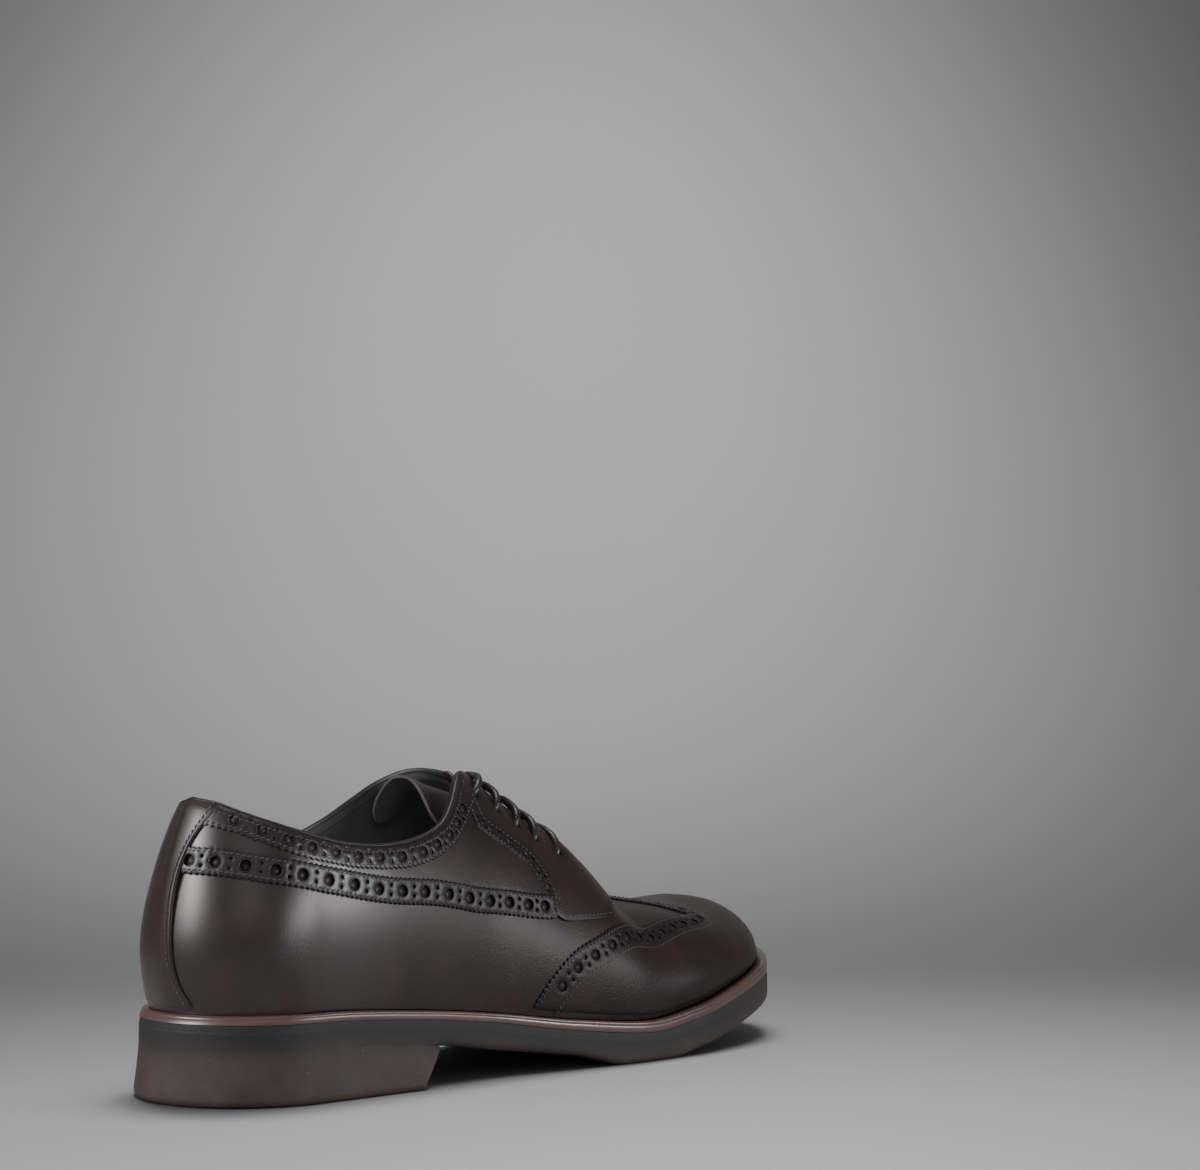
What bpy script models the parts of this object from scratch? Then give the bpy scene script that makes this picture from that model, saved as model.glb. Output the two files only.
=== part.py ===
"""Brogue derby, right shoe: the construction of its sole, upper, overlays and lace.

Sizes in the tables are millimetres: x from the back of the sole to the toe, y to the inner (medial)
side, z up from the floor. The objects are in metres, +Z up, toe along +X.
"""
import bmesh
import bpy
import numpy as np

MM = 0.001
GAP = 0.3                # clearance between neighbouring pieces

# Driving sizes of the last
FEATHER_BACK = 5.0       # x of the feather line (foot of the upper) at the back
FEATHER_TIP = 295.0      # x of the feather line at the toe
HEEL_ROUND = 33.0        # length over which the heel outline closes
TOE_ROUND = 80.0         # length over which the toe outline closes
TOE_SWING = 6.8          # how far the toe's axis swings to the inner side
SWING_START = 190.0      # x where that swing begins

# Leather and sole thicknesses
WALL = 2.0               # upper with its lining
QUARTER = 0.9            # quarter panels and toe wing
WING_LIFT = 0.62         # the wing lies a little looser than the quarters
TRIM = 0.8               # bands and facings laid on the quarters
TRIM_LIFT = 1.90         # underside of bands and facings above the last
TONGUE = 1.6
INSOLE = 2.2
MIDSOLE = 5.0
WELT_SEAT = 9.0          # how far the welt reaches in under the upper
HEEL_LENGTH = 88.0       # x of the heel breast at its top
BREAST_SLANT = 5.0       # how far the breast leans back at the floor
HEEL_FLARE = 1.5         # how far the heel spreads at the floor
BREAST_FLARE = 2.2       # how much more it spreads towards the breast
FLARE_START = 40.0       # x where that further spread begins
FLARE_END = 76.0         # x where it is full, just behind the breast
HEEL_BEVEL = 2.5         # height of the bevel round the foot of the heel
LACE_RADIUS = 1.4
LACE_RISE = 1.0          # how far a lace bar arches over the throat


def table(columns, rows):
    """Named columns of a table written with one row for each section."""
    values = np.array(rows, float).T
    return dict(zip(columns.split(), values))


# Plan and bottom line of the last, a row for each cross-section
LAST = table("x lateral medial feather", [
    (5, 31.5, 31.0, 29.2),
    (38, 32.5, 31.0, 28.9),
    (80, 33.2, 28.0, 26.2),
    (115, 34.1, 23.5, 22.5),
    (150, 40.5, 28.0, 17.7),
    (185, 46.2, 39.0, 14.9),
    (210, 46.5, 45.5, 17.9),
    (235, 44.1, 47.5, 22.6),
    (262, 41.4, 45.0, 28.0),
    (280, 36.5, 41.0, 30.6),
    (295, 29.6, 37.0, 32.6),
])

# Top line of the last: over the instep and along the toe
RIDGE = table("x y z", [
    (28, 0.0, 115.8),
    (60, 0.0, 121.0),
    (95, 0.5, 119.5),
    (118, 1.0, 112.0),
    (140, 1.5, 97.4),
    (165, 2.0, 80.8),
    (190, 3.0, 58.5),
    (215, 4.0, 54.6),
    (238, 5.0, 52.2),
    (256, 5.6, 52.2),
    (269, 6.0, 50.6),
])

# How full each cross-section is: lean of its side, round of its top, and outward swell of each side
FULLNESS = table("x side top swell_lateral swell_medial", [
    (5, 0.9, 1.05, 7.6, 7.6),
    (40, 0.85, 1.0, 5.0, 4.0),
    (90, 0.85, 1.0, 4.2, 5.0),
    (140, 0.9, 1.0, 4.1, 7.0),
    (190, 0.95, 1.0, 3.9, 5.0),
    (230, 0.9, 0.97, 3.8, 4.0),
    (270, 0.96, 1.05, 0.8, 3.0),
    (301, 0.96, 1.03, 2.1, 3.0),
])

# Underside of the outsole: heel seat, waist, tread step, flat ball, toe spring
TREAD = table("x z", [
    (0, 17.2),
    (38, 16.9),
    (88, 13.5),
    (116, 9.3),
    (137, 6.5),
    (153.5, 4.1),
    (159, 2.5),
    (170, 0.0),
    (197, 0.0),
    (209, 1.9),
    (226, 4.8),
    (246, 9.0),
    (258, 11.4),
    (280, 14.6),
    (300, 16.9),
])

# Welt and sole edge: thickness of the welt and reach of the sole past the feather line
EDGE = table("x welt reach", [
    (5, 2.9, 4.5),
    (90, 3.0, 4.5),
    (150, 3.8, 4.5),
    (210, 4.3, 4.5),
    (255, 4.4, 4.6),
    (295, 4.4, 5.8),
])

# Cross-sections used for the meshes: x on the feather line
SECTIONS = (5, 5.8, 8, 12, 18, 26, 36, 48, 60, 72, 83, 92, 98, 103, 108, 113, 118, 124, 132, 141,
            150, 161, 172, 182, 190, 197, 204, 213, 223, 233, 244, 254, 263, 271,
            278, 284, 289, 292.5, 294.4, 295)
UPPER_ROWS = 8

# Edges drawn on the last: x of the section on the feather line, height as a share of its girth
TOP_EDGE = table("x height", [
    (5, 0.588),
    (7.3, 0.57),
    (13.2, 0.527),
    (20, 0.488),
    (29.5, 0.446),
    (42.3, 0.409),
    (53, 0.395),
    (64, 0.392),
    (75.5, 0.401),
    (87.6, 0.426),
    (97.2, 0.474),
    (103.2, 0.543),
    (108.7, 0.629),
    (113.9, 0.715),
    (118.5, 0.78),
    (124.5, 0.825),
    (135, 0.835),
    (150, 0.842),
    (165, 0.85),
    (178, 0.86),
    (187, 0.905),
    (194.5, 1.0),
    (295, 1.0),
])
FACING_EDGE = table("x height", [
    (112.8, 0.69),
    (118.5, 0.773),
    (124.5, 0.818),
    (135, 0.828),
    (150, 0.835),
    (165, 0.841),
    (178, 0.843),
    (190, 0.825),
    (198, 0.785),
])
FACING_REAR = table("x height", [
    (112.9, 0.66),
    (114.0, 0.62),
    (115.7, 0.579),
    (117.2, 0.543),
    (120, 0.523),
    (124, 0.518),
    (130.3, 0.507),
    (137, 0.495),
    (140.8, 0.476),
    (142.5, 0.445),
    (143.6, 0.399),
    (144.8, 0.358),
    (147.5, 0.303),
    (157.3, 0.324),
    (173, 0.378),
])
QUARTER_FOOT = table("x height", [
    (6.2, 0.352),
    (9, 0.334),
    (22.8, 0.299),
    (42.8, 0.257),
    (75.2, 0.233),
    (106.4, 0.239),
    (133.2, 0.271),
    (147, 0.294),
    (157.3, 0.316),
    (173.5, 0.372),
])
QUARTER_BAND = table("x height", [
    (5.9, 0.407),
    (8.7, 0.385),
    (22.8, 0.344),
    (43.1, 0.301),
    (75.6, 0.275),
    (106.9, 0.276),
    (134, 0.313),
    (139.3, 0.326),
])
COLLAR_BAND = table("x height", [
    (6.6, 0.533),
    (8.4, 0.521),
    (11.8, 0.502),
    (18.8, 0.46),
    (26.5, 0.421),
    (35.1, 0.39),
    (45.2, 0.372),
    (55.1, 0.361),
    (65, 0.359),
    (75.3, 0.364),
    (85.5, 0.381),
    (92.6, 0.406),
    (99.8, 0.447),
    (105, 0.494),
    (109, 0.545),
])
BAND_HALF_WIDTH = 3.9
COLLAR_HALF_WIDTH = 3.3
WING_EDGE = table("height x", [
    (0.02, 134.5),
    (0.053, 136.6),
    (0.12, 142.5),
    (0.203, 151.8),
    (0.284, 164.9),
    (0.449, 188.7),
    (0.51, 204),
    (0.568, 220),
    (0.592, 236),
    (0.615, 244),
    (0.677, 241),
    (0.771, 233),
    (0.83, 223),
    (0.9, 212.5),
    (1.0, 204),
])
BACK_STRIP = table("height half_angle top", [
    (0.02, 0.104, 1.6),
    (0.12, 0.066, 1.6),
    (0.21, 0.05, 1.8),
    (0.27, 0.05, 2.2),
    (0.34, 0.062, 2.7),
    (0.42, 0.105, 2.8),
    (0.53, 0.145, 2.8),
    (0.58, 0.18, 2.8),
])
EYELETS = table("x height", [
    (120.6, 0.66),
    (131.5, 0.662),
    (140.6, 0.649),
    (149.5, 0.628),
    (160.5, 0.62),
])

# Tongue: how far its middle lies below the last, from its top edge to its root under the vamp
TONGUE_DROP = table("x drop", [
    (105, 10.0),
    (118, 8.5),
    (132, 5.0),
    (150, 3.0),
    (170, 1.5),
    (204, 0.4),
])
TONGUE_SIDE = 0.60       # height on the last where the tongue's side edges lie


def smooth(xs, ys):
    """A curve through the rows of a table that never overshoots them."""
    steps = np.diff(xs)
    slopes = np.diff(ys) / steps
    tangents = np.zeros_like(ys)
    tangents[0] = slopes[0]
    tangents[-1] = slopes[-1]
    for i in range(1, len(xs) - 1):
        if slopes[i - 1] * slopes[i] > 0:
            before = 2 * steps[i] + steps[i - 1]
            after = steps[i] + 2 * steps[i - 1]
            tangents[i] = (before + after) / (before / slopes[i - 1] + after / slopes[i])

    def curve(x):
        x = np.clip(np.asarray(x, float), xs[0], xs[-1])
        i = np.clip(np.searchsorted(xs, x) - 1, 0, len(xs) - 2)
        u = (x - xs[i]) / steps[i]
        return ((1 + 2 * u) * (1 - u) ** 2 * ys[i] + u * (1 - u) ** 2 * steps[i] * tangents[i]
                + u * u * (3 - 2 * u) * ys[i + 1] + u * u * (u - 1) * steps[i] * tangents[i + 1])

    return curve


def angle_of(x):
    """Angle round the feather outline, 0 at the back and pi at the toe, of the section at x."""
    share = (np.asarray(x, float) - FEATHER_BACK) / (FEATHER_TIP - FEATHER_BACK)
    return np.arccos(np.clip(1 - 2 * share, -1, 1))


def edge_curve(edge):
    """Height of a drawn edge as a function of the angle round the feather outline."""
    return smooth(angle_of(edge["x"]), edge["height"])


lateral_breadth = smooth(LAST["x"], LAST["lateral"])
medial_breadth = smooth(LAST["x"], LAST["medial"])
feather_height = smooth(LAST["x"], LAST["feather"])
ridge_y = smooth(RIDGE["x"], RIDGE["y"])
ridge_z = smooth(RIDGE["x"], RIDGE["z"])
side_lean = smooth(FULLNESS["x"], FULLNESS["side"])
top_round = smooth(FULLNESS["x"], FULLNESS["top"])
lateral_swell = smooth(FULLNESS["x"], FULLNESS["swell_lateral"])
medial_swell = smooth(FULLNESS["x"], FULLNESS["swell_medial"])
tread_height = smooth(TREAD["x"], TREAD["z"])
welt_thickness = smooth(EDGE["x"], EDGE["welt"])
sole_reach = smooth(EDGE["x"], EDGE["reach"])
top_edge = edge_curve(TOP_EDGE)
wing_edge = smooth(WING_EDGE["height"], WING_EDGE["x"])
strip_half_angle = smooth(BACK_STRIP["height"], BACK_STRIP["half_angle"])
strip_top = smooth(BACK_STRIP["height"], BACK_STRIP["top"])
tongue_drop = smooth(angle_of(TONGUE_DROP["x"]), TONGUE_DROP["drop"])


def end_round(x):
    """Share of the full breadth that is left as the outline closes at heel and toe."""
    heel = np.clip((HEEL_ROUND - (x - FEATHER_BACK)) / HEEL_ROUND, 0, 1)
    toe = np.clip((x - (FEATHER_TIP - TOE_ROUND)) / TOE_ROUND, 0, 1)
    return np.sqrt(1 - heel ** 2.2) * (1 - toe ** 2.8) ** 0.46


def feather(turn):
    """Point of the feather line. turn runs from -pi (toe) over the lateral side to 0 (back) and to pi."""
    turn = (np.asarray(turn, float) + np.pi) % (2 * np.pi) - np.pi
    x = FEATHER_BACK + (FEATHER_TIP - FEATHER_BACK) * (1 - np.cos(turn)) / 2
    swing = np.clip((x - SWING_START) / (FEATHER_TIP - SWING_START), 0, 1)
    breadth = np.where(turn < 0, -lateral_breadth(x), medial_breadth(x))
    y = TOE_SWING * swing ** 2 + breadth * end_round(x)
    return np.stack([x, y, feather_height(x)], -1)


def last_point(turn, height):
    """Point of the last at a share `height` of the way from the feather line to the ridge, or over it."""
    turn, height = np.broadcast_arrays(np.asarray(turn, float), np.asarray(height, float))
    over = height > 1
    turn = np.where(over, -turn, turn)
    rise = np.where(over, 2 - height, height) * np.pi / 2
    foot = feather(turn)
    x = foot[..., 0]
    along = (x - FEATHER_BACK) / (FEATHER_TIP - FEATHER_BACK)
    crest_x = RIDGE["x"][0] + (RIDGE["x"][-1] - RIDGE["x"][0]) * along
    crest = np.stack([crest_x, ridge_y(crest_x), ridge_z(crest_x)], -1)
    inward = 1 - np.cos(rise) ** side_lean(x)
    upward = np.sin(np.clip(rise, 0, np.pi)) ** top_round(x)
    point = foot + (crest - foot) * np.stack([inward, inward, upward], -1)
    across = crest[..., :2] - foot[..., :2]
    across = across / np.maximum(np.linalg.norm(across, axis=-1, keepdims=True), 1e-9)
    swell = np.where(feather(turn)[..., 1] < 0, lateral_swell(x), medial_swell(x))
    swell = swell * np.sin(np.pi * np.clip(upward, 0, 1)) * (1 - upward)
    point[..., :2] -= across * swell[..., None]
    return point


def last_normal(turn, height):
    """Unit vector pointing out of the last."""
    step = 0.004
    ridge_end = np.pi - 0.05
    turn, height = np.broadcast_arrays(np.asarray(turn, float), np.asarray(height, float))
    turn = np.where(np.abs(height - 1) < 0.02, np.clip(turn, -ridge_end, ridge_end), turn)
    low = np.maximum(height - step, 0.0)
    along = last_point(turn + step, height) - last_point(turn - step, height)
    up = last_point(turn, height + step) - last_point(turn, low)
    normal = np.cross(up, along)
    return normal / np.linalg.norm(normal, axis=-1, keepdims=True)


def lifted(turn, height, lift):
    """Point at a distance `lift` outside the last."""
    lift = np.asarray(lift, float)
    return last_point(turn, height) + last_normal(turn, height) * lift[..., None]


def principled(name, colour, roughness):
    material = bpy.data.materials.new(name)
    material.use_nodes = True
    shader = material.node_tree.nodes["Principled BSDF"]
    shader.inputs["Base Color"].default_value = (*colour, 1.0)
    shader.inputs["Roughness"].default_value = roughness
    shader.inputs["Metallic"].default_value = 0.0
    return material


def add_object(name, mesh_or_curve, material, shoe):
    item = bpy.data.objects.new(name, mesh_or_curve)
    item.data.materials.append(material)
    item.parent = shoe
    bpy.context.scene.collection.objects.link(item)
    return item


def add_solid(name, points, faces, material, shoe):
    """Object from points in millimetres; points that coincide become one."""
    mesh = bpy.data.meshes.new(name)
    shape = bmesh.new()
    corners = [shape.verts.new(point * MM) for point in points]
    for face in faces:
        shape.faces.new([corners[i] for i in face])
    bmesh.ops.remove_doubles(shape, verts=shape.verts, dist=1e-6)
    bmesh.ops.dissolve_degenerate(shape, edges=shape.edges, dist=1e-7)
    bmesh.ops.recalc_face_normals(shape, faces=shape.faces)
    shape.to_mesh(mesh)
    shape.free()
    mesh.shade_smooth()
    mesh.set_sharp_from_angle(angle=np.radians(35))
    return add_object(name, mesh, material, shoe)


def merge_key(point):
    return tuple(np.round(point, 4) + 0.0)


def shell(name, inside, outside, material, shoe):
    """Closed leather piece between two like grids of points, with a rim along every free edge."""
    rows, columns = inside.shape[:2]
    place = {}
    corner = np.zeros((rows, columns), int)
    for i in range(rows):
        for j in range(columns):
            corner[i, j] = place.setdefault(merge_key(inside[i, j]), len(place))
    count = len(place)
    points = np.zeros((2 * count, 3))
    points[corner.ravel()] = inside.reshape(-1, 3)
    points[corner.ravel() + count] = outside.reshape(-1, 3)
    faces = []
    free_edges = {}
    for i in range(rows - 1):
        for j in range(columns - 1):
            ring = [corner[i, j], corner[i + 1, j], corner[i + 1, j + 1], corner[i, j + 1]]
            ring = [a for a, b in zip(ring, ring[1:] + ring[:1]) if a != b]
            if len(set(ring)) < 3:
                continue
            faces.append([a + count for a in ring])
            faces.append(ring[::-1])
            for a, b in zip(ring, ring[1:] + ring[:1]):
                if (b, a) in free_edges:
                    del free_edges[(b, a)]
                else:
                    free_edges[(a, b)] = True
    for a, b in free_edges:
        faces.append([a, b, b + count, a + count])
    return add_solid(name, points, faces, material, shoe)


def sheet(name, turn, height, low, high, material, shoe):
    """Leather laid on the last between two lifts."""
    return shell(name, lifted(turn, height, low), lifted(turn, height, high), material, shoe)


def section_turns():
    """Turns of the cross-sections all the way round, from the toe over the lateral side and back."""
    angles = angle_of(SECTIONS)
    return np.concatenate([-angles[::-1], angles[1:]])


def outline(grow):
    """The feather outline moved out by `grow(x)`, as a closed ring of x and y."""
    turns = section_turns()[:-1]
    foot = feather(turns)
    step = 0.002
    tangent = feather(turns + step) - feather(turns - step)
    outward = np.stack([-tangent[:, 1], tangent[:, 0]], -1)
    outward /= np.linalg.norm(outward, axis=1, keepdims=True)
    return foot[:, :2] + outward * grow(foot[:, 0])[:, None]


def ring(grow, height):
    """Outline moved out by grow(x), with each point at the height that a function of x gives."""
    plan = outline(grow)
    return np.column_stack([plan, height(plan[:, 0])])


def ring_walls(rings, closed):
    """Faces between rings that follow each other."""
    size = len(rings[0])
    pairs = list(zip(range(len(rings) - 1), range(1, len(rings))))
    if closed:
        pairs.append((len(rings) - 1, 0))
    faces = []
    for lower, upper in pairs:
        for i in range(size):
            k = (i + 1) % size
            faces.append([lower * size + i, lower * size + k, upper * size + k, upper * size + i])
    return faces


def ring_cap(size, first):
    """Faces across a ring, from each lateral point to the medial point of the same section."""
    half = size // 2
    faces = [[first, first + 1, first + size - 1]]
    for i in range(1, half - 1):
        faces.append([first + i, first + i + 1, first + size - i - 1, first + size - i])
    faces.append([first + half - 1, first + half, first + half + 1])
    return faces


def layered(name, rings, material, shoe):
    """Solid of rings from its underside to its top, closed by a cap at each end."""
    size = len(rings[0])
    faces = ring_walls(rings, closed=False)
    faces += ring_cap(size, 0)
    faces += ring_cap(size, (len(rings) - 1) * size)
    return add_solid(name, np.concatenate(rings), faces, material, shoe)


def steady(reach):
    """A reach that is the same all round."""
    return lambda x: np.full_like(x, reach)


def welt_foot(x):
    return feather_height(x) - GAP - welt_thickness(x)


def midsole_foot(x):
    return welt_foot(x) - GAP - MIDSOLE


def make_welt(material, shoe):
    def top(x):
        return feather_height(x) - GAP

    seat = steady(-WELT_SEAT)
    rings = [ring(sole_reach, welt_foot), ring(sole_reach, top), ring(seat, top), ring(seat, welt_foot)]
    return add_solid("welt", np.concatenate(rings), ring_walls(rings, closed=True), material, shoe)


def make_midsole(material, shoe):
    def shoulder(x):
        return welt_foot(x) - GAP

    def filling(x):
        return feather_height(x) - GAP

    inner = steady(-WELT_SEAT - GAP)
    rings = [
        ring(sole_reach, midsole_foot),
        ring(sole_reach, shoulder),
        ring(inner, shoulder),
        ring(inner, filling),
    ]
    return layered("midsole", rings, material, shoe)


def make_outsole(material, shoe):
    def top(x):
        return midsole_foot(x) - GAP

    def tread_side(x):
        return tread_height(x) + 1.0

    def tread_reach(x):
        return sole_reach(x) - 1.0

    rings = [ring(tread_reach, tread_height), ring(sole_reach, tread_side), ring(sole_reach, top)]
    return layered("outsole", rings, material, shoe)


def make_insole(material, shoe):
    def top(x):
        return feather_height(x) + INSOLE

    inner = steady(-WALL - 2 * GAP)
    return layered("insole", [ring(inner, feather_height), ring(inner, top)], material, shoe)


def heel_ring(grow, front, height):
    """Heel outline up to the straight breast at x = front, from the lateral corner to the medial one."""
    plan = outline(grow)
    half = len(plan) // 2
    behind = sum(x < FLARE_END for x in SECTIONS)
    lateral = plan[half + 1 - behind:half + 1]
    medial = plan[half + 1:half + behind]
    corners = []
    for side in (plan[:half + 1][::-1], plan[half:]):
        corners.append((front, np.interp(front, side[:, 0], side[:, 1])))
    loop = np.vstack([corners[0], lateral, medial, corners[1]])
    return np.column_stack([loop, height(loop[:, 0])])


def make_heel(material, shoe):
    def seat(x):
        return tread_height(x) - GAP

    def above_bevel(x):
        return np.full_like(x, HEEL_BEVEL)

    def floor(x):
        return np.zeros_like(x)

    def foot_reach(x):
        share = np.clip((x - FLARE_START) / (FLARE_END - FLARE_START), 0, 1)
        return sole_reach(x) + HEEL_FLARE + BREAST_FLARE * share

    def bevelled_reach(x):
        return foot_reach(x) - 1.2

    front = HEEL_LENGTH - BREAST_SLANT
    rings = [
        heel_ring(bevelled_reach, front, floor),
        heel_ring(foot_reach, front, above_bevel),
        heel_ring(sole_reach, HEEL_LENGTH, seat),
    ]
    size = len(rings[0])
    faces = ring_walls(rings, closed=False)
    for first in (0, 2 * size):
        for i in range(size // 2):
            faces.append([first + i, first + i + 1, first + size - 2 - i, first + size - 1 - i])
    faces = [list(dict.fromkeys(face)) for face in faces]
    faces = [face for face in faces if len(face) > 2]
    return add_solid("heel", np.concatenate(rings), faces, material, shoe)


def make_upper(material, shoe):
    turns = section_turns()
    share = np.linspace(0, 1, UPPER_ROWS + 1)[:, None]
    height = share * top_edge(np.abs(turns))[None]
    turn = np.broadcast_to(turns, height.shape)
    outside = lifted(turn, height, 0.0)
    inside = lifted(turn, height, -WALL)
    inside[0, :, 2] = outside[0, :, 2]
    return shell("upper", inside, outside, material, shoe)


def make_tongue(material, shoe):
    angles = angle_of(np.linspace(105, 204, 11))
    heights = np.linspace(TONGUE_SIDE, 2 - TONGUE_SIDE, 9)
    turn, height = np.meshgrid(-angles, heights, indexing="ij")
    middle = np.sin(np.pi / 2 * (1 - np.abs(height - 1) / (1 - TONGUE_SIDE)))
    drop = tongue_drop(np.abs(turn)) * middle
    under = -WALL - 2 * GAP
    outside = lifted(turn, height, under)
    inside = lifted(turn, height, under - TONGUE)
    outside[..., 2] -= drop
    inside[..., 2] -= drop
    return shell("tongue", inside, outside, material, shoe)


def spread(edge, count):
    """Turn and height at even steps along a drawn edge."""
    angles = angle_of(edge["x"])
    heights = edge["height"]
    steps = np.hypot(np.diff(angles), np.diff(heights))
    run = np.concatenate([[0.0], np.cumsum(steps)])
    at = np.linspace(0, run[-1], count)
    return smooth(run, angles)(at), smooth(run, heights)(at)


def between(lower, upper, rows):
    """Grid of angle and height between two edges with the same number of points."""
    share = np.linspace(0, 1, rows)[:, None]
    angle = lower[0] + (upper[0] - lower[0]) * share
    height = lower[1] + (upper[1] - lower[1]) * share
    return angle, height


def clear_of_strip(angle, height):
    """Keep a panel's back edge just in front of the back strip."""
    margin = 0.008
    return np.maximum(angle, strip_half_angle(height) + margin)


def panel(name, side, angle, height, low, high, material, shoe):
    """Panel on one side: side is -1 for the lateral one and 1 for the medial one."""
    return sheet(name, side * angle, height, low, high, material, shoe)


def band_edges(centre, half_width, count):
    """The two edges of a band of constant width along a drawn line, on the lateral side."""
    angle, height = spread(centre, count)
    step = 0.002
    along_angle = (last_point(-angle - step, height) - last_point(-angle + step, height)) / (2 * step)
    along_height = (last_point(-angle, height + step) - last_point(-angle, height - step)) / (2 * step)
    run = np.gradient(angle)[:, None] * along_angle + np.gradient(height)[:, None] * along_height
    run /= np.linalg.norm(run, axis=1, keepdims=True)
    across = np.cross(last_normal(-angle, height), run)
    edges = []
    for reach in (-half_width, half_width):
        moves = []
        for a, h, vector in zip(along_angle, along_height, across):
            moves.append(np.linalg.lstsq(np.column_stack([a, h]), vector * reach, rcond=None)[0])
        moves = np.array(moves)
        edges.append((angle + moves[:, 0], height + moves[:, 1]))
    return edges


def make_panels(material, shoe):
    collar = slice(1, 13)
    quarter_top = {
        "x": np.concatenate([TOP_EDGE["x"][collar], FACING_EDGE["x"]]),
        "height": np.concatenate([TOP_EDGE["height"][collar] - 0.004, FACING_EDGE["height"]]),
    }
    quarter = between(spread(QUARTER_FOOT, 32), spread(quarter_top, 32), 7)
    facing = between(spread(FACING_REAR, 17), spread(FACING_EDGE, 17), 6)
    quarter_band = between(*band_edges(QUARTER_BAND, BAND_HALF_WIDTH, 20), 3)
    collar_band = between(*band_edges(COLLAR_BAND, COLLAR_HALF_WIDTH, 20), 3)
    pieces = {
        "quarter": (quarter, GAP, GAP + QUARTER),
        "facing": (facing, TRIM_LIFT, TRIM_LIFT + TRIM),
        "quarter_band": (quarter_band, TRIM_LIFT, TRIM_LIFT + TRIM),
        "collar_band": (collar_band, TRIM_LIFT, TRIM_LIFT + TRIM),
    }
    for name, ((angle, height), low, high) in pieces.items():
        if name != "facing":
            angle = clear_of_strip(angle, height)
        panel(name + "_lateral", -1, angle, height, low, high, material, shoe)
        panel(name + "_medial", 1, angle, height, low, high, material, shoe)


def make_toe_wing(material, shoe):
    heights = np.concatenate([np.linspace(0.02, 0.52, 7), np.linspace(0.58, 1.0, 7)])
    heights = np.concatenate([heights, (2 - heights)[-2::-1]])
    folded = np.minimum(heights, 2 - heights)
    start = angle_of(wing_edge(folded))[:, None]
    share = np.linspace(0, 1, 18)[None]
    angle = start + (np.pi - start) * share
    height = np.broadcast_to(heights[:, None], angle.shape)
    return sheet("toe_wing", -angle, height, WING_LIFT, WING_LIFT + QUARTER, material, shoe)


def make_back_strip(material, shoe):
    heights = np.linspace(BACK_STRIP["height"][0], BACK_STRIP["height"][-1], 10)[:, None]
    angle = strip_half_angle(heights) * np.linspace(-1, 1, 5)[None]
    height = np.broadcast_to(heights, angle.shape)
    return sheet("back_strip", angle, height, GAP, strip_top(height), material, shoe)


def rounded(points, count):
    """Smooth route through a few points."""
    steps = np.linalg.norm(np.diff(points, axis=0), axis=1)
    run = np.concatenate([[0.0], np.cumsum(steps)])
    at = np.linspace(0, run[-1], count)
    return np.column_stack([smooth(run, points[:, k])(at) for k in range(3)])


def make_lace(material, shoe):
    """Straight bars over the throat, each from eyelet to eyelet, resting on the facings."""
    rest = TRIM_LIFT + TRIM + GAP + LACE_RADIUS
    facing_edge = edge_curve(FACING_EDGE)
    for number, (x, height) in enumerate(zip(EYELETS["x"], EYELETS["height"]), start=1):
        angle = angle_of(x)
        edge = facing_edge(angle)
        stops = ((height, rest), ((height + edge) / 2, rest + 0.1), (edge, rest + 0.3))
        lateral = [lifted(-angle, h, lift) for h, lift in stops]
        medial = [lifted(angle, h, lift) for h, lift in stops]
        crown = (lateral[-1] + medial[-1]) / 2 + np.array([0.0, 0.0, LACE_RISE])
        route = rounded(np.array(lateral + [crown] + medial[::-1]), 13)
        curve = bpy.data.curves.new(f"lace_bar_{number}", "CURVE")
        curve.dimensions = "3D"
        curve.bevel_depth = LACE_RADIUS * MM
        curve.bevel_resolution = 2
        curve.use_fill_caps = True
        spline = curve.splines.new("POLY")
        spline.points.add(len(route) - 1)
        for control, point in zip(spline.points, route):
            control.co = (*(point * MM), 1.0)
        add_object(f"lace_bar_{number}", curve, material, shoe)


def stand_on_origin(shoe):
    """Move the shoe so that the origin is under the middle of its box, on the floor."""
    bpy.context.view_layer.update()
    depsgraph = bpy.context.evaluated_depsgraph_get()
    corners = []
    for item in shoe.children:
        mesh = item.evaluated_get(depsgraph).to_mesh()
        corners += [item.matrix_world @ vertex.co for vertex in mesh.vertices]
    corners = np.array(corners)
    middle = (corners.min(0) + corners.max(0)) / 2
    shoe.location = (-middle[0], -middle[1], 0.0)


def main():
    for item in list(bpy.data.objects):
        bpy.data.objects.remove(item, do_unlink=True)
    shoe = bpy.data.objects.new("shoe", None)
    bpy.context.scene.collection.objects.link(shoe)
    leather = principled("polished_leather", (0.030, 0.014, 0.012), 0.35)
    lining = principled("black_lining", (0.008, 0.007, 0.007), 0.6)
    welt = principled("welt_leather", (0.075, 0.035, 0.026), 0.5)
    sole = principled("sole_rubber", (0.026, 0.021, 0.020), 0.65)
    heel = principled("heel_rubber", (0.060, 0.030, 0.026), 0.65)
    lace = principled("waxed_lace", (0.020, 0.010, 0.009), 0.45)
    make_outsole(sole, shoe)
    make_heel(heel, shoe)
    make_midsole(sole, shoe)
    make_welt(welt, shoe)
    make_insole(lining, shoe)
    make_upper(leather, shoe)
    make_tongue(leather, shoe)
    make_toe_wing(leather, shoe)
    make_panels(leather, shoe)
    make_back_strip(leather, shoe)
    make_lace(lace, shoe)
    stand_on_origin(shoe)


main()
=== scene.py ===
"""Brogue derby, right shoe: its leather, punching, stitching, lace and sole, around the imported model.

Sizes on the last are millimetres: x from the back of the sole to the toe, y to the inner (medial) side,
z up from the floor. Every mesh is written in metres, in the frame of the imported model.
"""

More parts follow.
